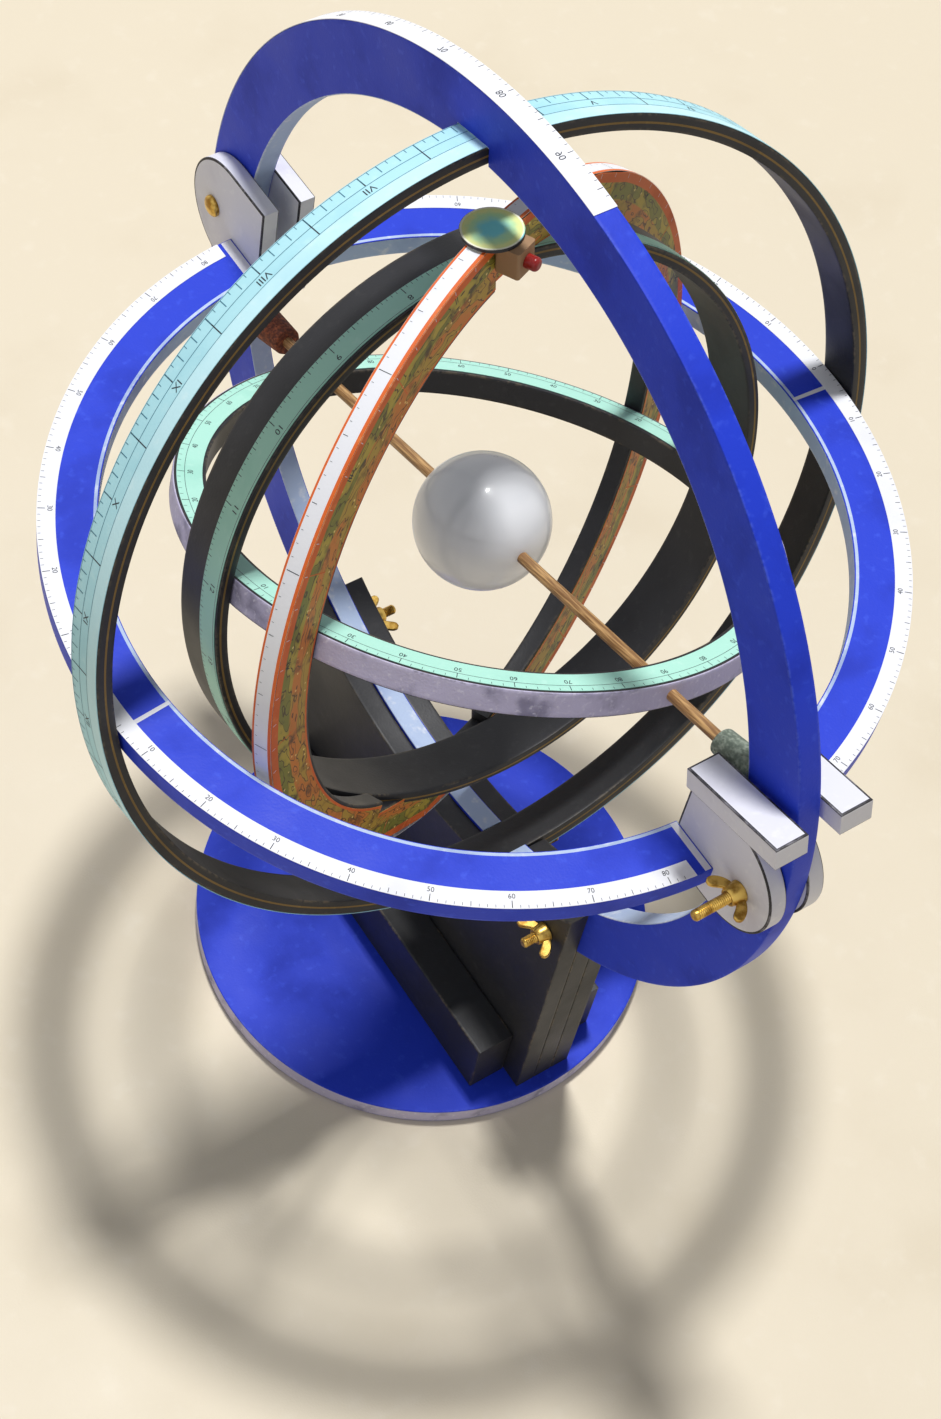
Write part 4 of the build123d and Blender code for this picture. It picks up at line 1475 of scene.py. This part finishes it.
@dataclass
class TurningSphere:
    """The rod, the ball and the three turning rings with their papers."""

    at: Directions
    paint: Palette
    paper: float = 0.3 * MM
    paste: float = 0.05 * MM
    nest: float = 133.535 * MM
    colure_inner: float = 119.2 * MM
    colure_outer: float = 133.3 * MM
    colure_half: float = 6.0 * MM
    equator_thickness: float = 5.4 * MM
    equator_half: float = 14.2 * MM
    ecliptic_width: float = 25.1 * MM
    ecliptic_half: float = 4.5 * MM
    chart_margin: float = 1.6 * MM

    def build(self) -> None:
        """Builds every piece that turns with the sphere."""
        self.rod_and_ball()
        self.colure()
        self.equator()
        self.ecliptic()

    def rod_and_ball(self) -> None:
        """Builds the polar rod with chamfered ends and the ball on it."""
        top, foot, radius = 200.0 * MM, -186.0 * MM, 2.6 * MM
        rows = [(radius * 0.7, foot), (radius, foot + 1.0 * MM)]
        rows += [(radius, h) for h in np.linspace(foot + 20 * MM, top - 20 * MM, 12)]
        rows += [(radius, top - 1.0 * MM), (radius * 0.7, top)]
        rod = lathe_patches(self.at.hours, np.array(rows), [0] * len(rows), 32)
        make_piece("polar_rod_look", rod, [self.paint.rod], "celestial_sphere", ["polar_rod"])
        ball_radius = 30.0 * MM
        start = math.asin(radius / ball_radius)
        turn = np.linspace(start, math.pi - start, 72)
        profile = np.stack([ball_radius * np.sin(turn), -ball_radius * np.cos(turn)], axis=1)
        ball = lathe_patches(self.at.hours, profile, [0] * len(profile), 120)
        make_piece("ball_look", ball, [self.paint.ball], "celestial_sphere", ["ball"])

    def colure(self) -> None:
        """Builds the colure ring: black faces and inside, a lilac edge, and a mint scale on its face."""
        section = Section(
            self.colure_inner, self.colure_outer, -self.colure_half, self.colure_half, finishes={Side.OUTSIDE: 1}
        )
        angles = full_turn()
        make_piece(
            "colure_ring_look",
            ring_patches(self.at.colure, section, angles, None, True),
            [self.paint.black, self.paint.lilac_paper],
            "celestial_sphere",
            ["colure_ring"],
        )
        inner, outer = self.colure_inner + self.chart_margin, self.colure_outer - self.chart_margin
        strip = Section(inner, outer, self.colure_half, self.colure_half + self.paper, bevel=0.08 * MM)
        make_piece(
            "colure_scale_paper",
            ring_patches(self.at.colure, strip, angles, None, True),
            [self.paint.mint_paper],
            "celestial_sphere",
            ["colure_scale"],
        )
        marks = Print(self.at.colure, Lay.ON_FACE, self.colure_half + self.paper, outer, turned=-1, upward=1)
        degrees = np.arange(0, 360)
        for step, length, width in ((2, 1.4, 0.2), (10, 3.0, 0.3)):
            chosen = np.radians(degrees[degrees % step == 0])
            marks.ticks(chosen, outer - (0.3 + length) * MM, outer - 0.3 * MM, width * MM)
        marks.line(0.0, 2 * math.pi, outer - 3.4 * MM, 0.2 * MM)
        for number in range(0, 360, 10):
            fold = number % 180
            value = fold if fold <= 90 else 180 - fold
            marks.words(str(90 - value), math.radians(number), outer - 5.8 * MM, 2.4 * MM)
        marks.piece("colure_scale_marks", [self.paint.ink], "celestial_sphere", "cyan_scale")

    def equator(self) -> None:
        """Builds the equator ring, black with a brown line on its rims, and its mint scale."""
        outer = self.nest + self.equator_thickness
        line = [(1.6 * MM, 1), (2.5 * MM, 0)]
        section = Section(
            self.nest,
            outer,
            -self.equator_half,
            self.equator_half,
            bevel=0.4 * MM,
            bands={Side.ABOVE: line, Side.BELOW: line},
        )
        angles = full_turn()
        make_piece(
            "equator_ring_look",
            ring_patches(self.at.equator, section, angles, None, True),
            [self.paint.black, self.paint.brown_line],
            "celestial_sphere",
            ["equator_ring"],
        )
        start, low, high = outer + self.paste, 1.5 * MM, 13.0 * MM
        strip = Section(start, start + self.paper, low, high, bevel=0.08 * MM)
        make_piece(
            "equator_scale_paper",
            ring_patches(self.at.equator, strip, angles, None, True),
            [self.paint.mint_paper],
            "celestial_sphere",
            ["equator_scale"],
        )
        marks = Print(self.at.equator, Lay.ON_EDGE, start + self.paper, start, turned=1, upward=1)
        degrees = np.arange(0, 360)
        for step, length, width in ((1, 1.4, 0.2), (5, 2.4, 0.26), (15, 4.0, 0.32)):
            chosen = np.radians(degrees[degrees % step == 0])
            marks.ticks(chosen, low + 0.3 * MM, low + (0.3 + length) * MM, width * MM)
        marks.line(0.0, 2 * math.pi, high - 0.9 * MM, 0.2 * MM)
        for hour in range(24):
            marks.words(str(hour), math.radians(hour * 15), high - 4.0 * MM, 3.0 * MM)
        marks.piece("equator_scale_marks", [self.paint.ink], "celestial_sphere", "cyan_scale")

    def ecliptic(self) -> None:
        """Builds the ecliptic ring, relieved round the equator ring, its chart and its edge strip."""
        inner = self.nest
        outer = inner + self.ecliptic_width
        relief = self.nest + self.equator_thickness + self.paste + self.paper + 0.1 * MM
        slope = self.at.ecliptic_pole.dot(self.at.solstice)
        reach = math.asin((self.equator_half + self.ecliptic_half) / (relief * slope))
        notches = [(math.pi - reach, math.pi + reach), (2 * math.pi - reach, 2 * math.pi)]
        angles, radii = notched_turn([(0.0, reach), *notches], inner, relief)
        section = Section(inner, outer, -self.ecliptic_half, self.ecliptic_half)
        make_piece(
            "ecliptic_ring_look",
            ring_patches(self.at.ecliptic, section, angles, radii, True),
            [self.paint.black],
            "celestial_sphere",
            ["ecliptic_ring"],
        )
        chart_inner = inner + self.chart_margin
        angles, radii = notched_turn([(0.0, reach), *notches], chart_inner, relief)
        chart = Section(
            chart_inner,
            outer,
            self.ecliptic_half,
            self.ecliptic_half + self.paper,
            bevel=0.08 * MM,
            finishes={Side.ABOVE: 1, Side.OUTSIDE: 1},
            bands={Side.ABOVE: [(4.2 * MM, 0), (11.5 * MM, 2), (outer - chart_inner - 1.2 * MM, 1)]},
        )
        make_piece(
            "ecliptic_chart_paper",
            ring_patches(self.at.ecliptic, chart, angles, radii, True),
            [self.paint.chart, self.paint.orange, self.paint.warm_chart],
            "celestial_sphere",
            ["ecliptic_chart"],
        )
        start = outer + self.paste
        edge = Section(
            start,
            start + self.paper,
            -self.ecliptic_half,
            self.ecliptic_half,
            bevel=0.08 * MM,
            finishes={Side.OUTSIDE: 1},
            bands={Side.OUTSIDE: [(1.0 * MM, 0), (2 * self.ecliptic_half - 1.5 * MM, 1)]},
        )
        make_piece(
            "ecliptic_edge_paper",
            ring_patches(self.at.ecliptic, edge, full_turn(), None, True),
            [self.paint.white_paper, self.paint.orange],
            "celestial_sphere",
            ["ecliptic_edge_strip"],
        )
        self.ecliptic_marks(outer, start + self.paper)

    def ecliptic_marks(self, outer: float, edge_level: float) -> None:
        """Prints the chart's twelve sections and the degrees on its edge strip.

        Args:
            outer: the chart's outer radius.
            edge_level: radius of the edge strip's face.
        """
        level = self.ecliptic_half + self.paper
        twelfths = np.radians(np.arange(0, 360, 30) + 15.0)
        chart = Print(self.at.ecliptic, Lay.ON_FACE, level, outer, turned=1, upward=-1)
        chart.ticks(twelfths, outer - 15.8 * MM, outer - 2.7 * MM, 0.5 * MM, 1)
        chart.ticks(np.radians(np.arange(0, 360, 5)), outer - 2.5 * MM, outer - 0.5 * MM, 0.3 * MM, 2)
        for number in range(12):
            chart.words(roman(number + 1), math.radians(30 * number), outer - 5.6 * MM, 3.2 * MM)
        chart.piece(
            "ecliptic_chart_marks",
            [self.paint.ink, self.paint.orange, self.paint.white_paper],
            "celestial_sphere",
            "chart_paper",
        )
        strip = Print(self.at.ecliptic, Lay.ON_EDGE, edge_level, outer)
        degrees = np.arange(0, 360)
        for step, length, width in ((2, 1.0, 0.16), (10, 2.2, 0.24), (30, 5.6, 0.3)):
            chosen = np.radians(degrees[degrees % step == 0] + 15.0)
            low = -self.ecliptic_half + 1.6 * MM
            strip.ticks(chosen, low, low + length * MM, width * MM)
        strip.piece("ecliptic_edge_marks", [self.paint.ink], "celestial_sphere", "white_scale")


@dataclass
class SunMarker:
    """The sun disc on the ecliptic ring's edge, its clip block and the headed pin."""

    at: Directions
    paint: Palette
    angle: float = math.radians(18.2)
    bed: float = 159.285 * MM
    radius: float = 12.8 * MM
    thickness: float = 1.6 * MM

    def build(self) -> None:
        """Builds the disc and dresses the clip and the pin."""
        across = self.at.ecliptic.across
        out = math.cos(self.angle) * across + math.sin(self.angle) * self.at.ecliptic.along
        beside = np.cross(out, self.at.ecliptic_pole)
        axes = Axes(self.at.centre + out * self.bed, self.at.ecliptic_pole, beside, out)
        angles = full_turn(96)
        outline = np.stack([np.cos(angles), np.sin(angles)], axis=1) * self.radius
        disc = Plate(axes, outline, 0.0, self.thickness, bevel=0.25 * MM, support=0.7 * MM, face=0, side=1, edge=1)
        make_piece(
            "sun_disc_look", disc.patches(), [self.paint.sun, self.paint.marker_line], "sun_marker", ["sun_disc"]
        )
        dress("sun_clip", self.paint.clip)
        dress("sun_pin", self.paint.red)


def dress(node: str, material: Material) -> None:
    """Gives a CAD node's object the material in place of its own."""
    piece = frame["nodes"][node]
    piece.data.materials.clear()
    piece.data.materials.append(material)


@dataclass
class Fasteners:
    """The brass bolts, the wing nuts and the plain nut."""

    at: Directions
    paint: Palette
    shank: float = 2.5 * MM
    thread_depth: float = 0.32 * MM
    pitch: float = 0.9 * MM
    head_radius: float = 5.2 * MM
    head_height: float = 3.4 * MM
    hub_height: float = 6.5 * MM

    def build(self) -> None:
        """Builds every bolt and wing nut and dresses the plain nut."""
        for node in sorted(frame["nodes"]):
            low, high = (np.array(corner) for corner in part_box(node))
            centre = (low + high) / 2
            if node.startswith(("horizon_bolt", "pedestal_bolt")):
                self.bolt(node, centre, low[0], high[0])
            elif node.startswith("wing_nut"):
                self.wing_nut(node, centre, low[0], high[0])
            elif node.startswith("hex_nut"):
                dress(node, self.paint.brass)

    def axes(self, centre: Array, seat: float, outward: float) -> Axes:
        """Returns axes on a board's face, with the normal along X, outward or inward."""
        normal = np.array([outward, 0.0, 0.0])
        return Axes(np.array([seat, centre[1], centre[2]]), self.at.north, np.cross(normal, self.at.north), normal)

    def bolt(self, node: str, centre: Array, low: float, high: float) -> None:
        """Turns a bolt: an elliptic dome, a flat under the head and a shank with thread ridges.

        Args:
            node: the CAD node that the bolt stands for.
            centre: the middle of the node's box.
            low: the lower end along X.
            high: the upper end along X.
        """
        inward = 1.0 if abs(low) < abs(high) else -1.0
        seat = (low if inward > 0 else high) + inward * self.head_height
        length = (high - low) - self.head_height
        axes = self.axes(centre, seat, inward)
        turn = np.linspace(0.06, math.pi / 2, 9)
        rim = 1.0 * MM
        dome = [(self.head_radius * math.sin(t), -rim - (self.head_height - rim) * math.cos(t)) for t in turn]
        rows = dome + [(self.head_radius, -0.25 * MM), (self.head_radius - 0.25 * MM, 0.0), (self.shank, 0.0)]
        for ridge in np.arange(1.0 * MM, length - 1.4 * MM, self.pitch):
            rows += [(self.shank - self.thread_depth, ridge), (self.shank, ridge + self.pitch / 2)]
        rows += [(self.shank - 0.1 * MM, length - 0.7 * MM), (self.shank - 0.7 * MM, length)]
        surface = lathe_patches(axes, np.array(rows), [0] * len(rows), 28)
        make_piece(f"{node}_look", surface, [self.paint.brass], "stand", [node])

    def wing_nut(self, node: str, centre: Array, low: float, high: float) -> None:
        """Builds a wing nut: a bored, tapered hub and two ears that lean out along a bent spine.

        Args:
            node: the CAD node that the nut stands for.
            centre: the middle of the node's box.
            low: the lower end along X.
            high: the upper end along X.
        """
        outward = 1.0 if abs(high) > abs(low) else -1.0
        axes = self.axes(centre, low if outward > 0 else high, outward)
        bore, height = self.shank + 0.12 * MM, self.hub_height
        rows = [(bore, 0.4), (bore + 0.5 * MM, 0.0), (4.7 * MM, 0.0), (5.0 * MM, 0.4), (4.4 * MM, 4.2), (4.0 * MM, 6.1)]
        rows += [(3.7 * MM, 6.5), (bore + 0.4 * MM, 6.5), (bore, 6.2), (bore, 0.4)]
        profile = np.array([(radius, rise * MM) for radius, rise in rows])
        patches = lathe_patches(axes, profile, [0] * len(profile), 40)[:1]
        share = np.linspace(0.0, 1.0, 26)
        bend = np.array([(3.4, 2.6), (7.6, 3.6), (10.2, min(9.6, height / MM + 3.1))]) * MM
        weights = np.stack([(1 - share) ** 2, 2 * share * (1 - share), share**2], axis=1)
        spine = weights @ bend
        heading = np.gradient(spine, axis=0)
        heading /= np.linalg.norm(heading, axis=1, keepdims=True)
        side = np.stack([-heading[:, 1], heading[:, 0]], axis=1)
        half = (1.9 + 0.9 * share) * MM * np.sqrt(1 - share**7)
        half[-1] = 0.0
        ear = np.concatenate([spine - half[:, None] * side, (spine + half[:, None] * side)[-2::-1]])
        for hand in (1.0, -1.0):
            outline = ear * np.array([hand, 1.0])
            outline = outline if hand > 0 else outline[::-1]
            plane = Axes(axes.origin, axes.across, axes.normal, axes.along * -1.0)
            patches += Plate(plane, outline, -1.0 * MM, 1.0 * MM, bevel=0.55 * MM, support=0.5 * MM).patches()
        body = node
        make_piece(f"{node}_look", patches, [self.paint.brass], body, [node])


# The picture


@dataclass(frozen=True)
class Studio:
    """Camera, floor and lights."""

    at: Directions
    paint: Palette
    image_width: float = 941.0
    image_height: float = 1419.0
    focal_pixels: float = 2647.9
    centre_pixel: tuple = (482.2, 520.8)
    azimuth: float = -43.47
    elevation: float = 52.32
    roll: float = 12.35
    distance: float = 1133.8 * MM
    sensor: float = 36.0
    fill: float = 0.3
    backdrop: float = 0.85

    def build(self) -> None:
        """Builds the camera, the floor and the lights."""
        self.camera()
        self.floor()
        self.lights()

    def camera(self) -> None:
        """Aims the camera so that the ring centre lands on its own pixel of the photograph."""
        az, el = math.radians(self.azimuth), math.radians(self.elevation)
        back = Vector((math.sin(az) * math.cos(el), -math.cos(az) * math.cos(el), math.sin(el)))
        right = Vector((math.cos(az), math.sin(az), 0.0))
        up = back.cross(right)
        aimed = Matrix((right, up, back)).transposed()
        x = (self.centre_pixel[0] - self.image_width / 2) / self.focal_pixels
        y = -(self.centre_pixel[1] - self.image_height / 2) / self.focal_pixels
        pan = Vector((x, y, -1.0)).rotation_difference(Vector((0.0, 0.0, -1.0))).to_matrix()
        roll = Matrix.Rotation(math.radians(self.roll), 3, "Z")
        place = (aimed @ roll @ pan).to_4x4()
        place.translation = Vector(self.at.centre) + back * self.distance
        data = bpy.data.cameras.new("photo_camera")
        data.sensor_width = self.sensor
        data.sensor_fit = "AUTO"
        data.lens = self.sensor * self.focal_pixels / self.image_height
        data.clip_start = 0.05
        camera = bpy.data.objects.new("photo_camera", data)
        camera.matrix_world = place
        bpy.context.scene.collection.objects.link(camera)
        bpy.context.scene.camera = camera

    def floor(self) -> None:
        """Lays a wide pale floor under the base."""
        size = 12.0
        mesh = bpy.data.meshes.new("floor")
        mesh.from_pydata([(-size, -size, 0), (size, -size, 0), (size, size, 0), (-size, size, 0)], [], [(0, 1, 2, 3)])
        mesh.materials.append(self.paint.floor)
        floor = bpy.data.objects.new("floor", mesh)
        floor.location = (0.0, 0.0, -0.0002)
        bpy.context.scene.collection.objects.link(floor)

    def lights(self) -> None:
        """Hangs a soft key light high in the north, as the shadows say, and fills the shade a little."""
        for name, place, size, power in (
            ("key_light", (0.72, 1.37, 6.1), 0.8, 340.0),
            ("fill_light", (-3.8, -2.8, 3.2), 3.0, 14.0),
        ):
            data = bpy.data.lights.new(name, "AREA")
            data.shape = "DISK"
            data.size = size
            data.energy = power
            lamp = bpy.data.objects.new(name, data)
            lamp.location = place
            aim = Vector(self.at.centre) - Vector(place)
            lamp.rotation_euler = aim.to_track_quat("-Z", "Y").to_euler()
            bpy.context.scene.collection.objects.link(lamp)
        world = bpy.data.worlds.new("studio_world")
        world.use_nodes = True
        background = world.node_tree.nodes["Background"]
        background.inputs["Color"].default_value = (0.95, 0.96, 1.0, 1.0)
        nodes = Nodes(world.node_tree)
        path = nodes.add("ShaderNodeLightPath")
        seen = nodes.maths("MAXIMUM", path.outputs["Is Camera Ray"], path.outputs["Is Glossy Ray"])
        strength = nodes.add("ShaderNodeMapRange", {"Value": seen, "To Min": self.fill, "To Max": self.backdrop})
        world.node_tree.links.new(strength.outputs["Result"], background.inputs["Strength"])
        bpy.context.scene.world = world
        bpy.context.scene.view_settings.view_transform = "Standard"


def main() -> None:
    """Builds the instrument and its studio."""
    logging.basicConfig(level=logging.INFO, format="%(name)s %(message)s")
    at = Directions(frame["joints"])
    paint = Palette()
    Studio(at, paint).build()
    Stand(at, paint).build()
    TurningSphere(at, paint).build()
    SunMarker(at, paint).build()
    Fasteners(at, paint).build()


if __name__ == "__main__":
    main()
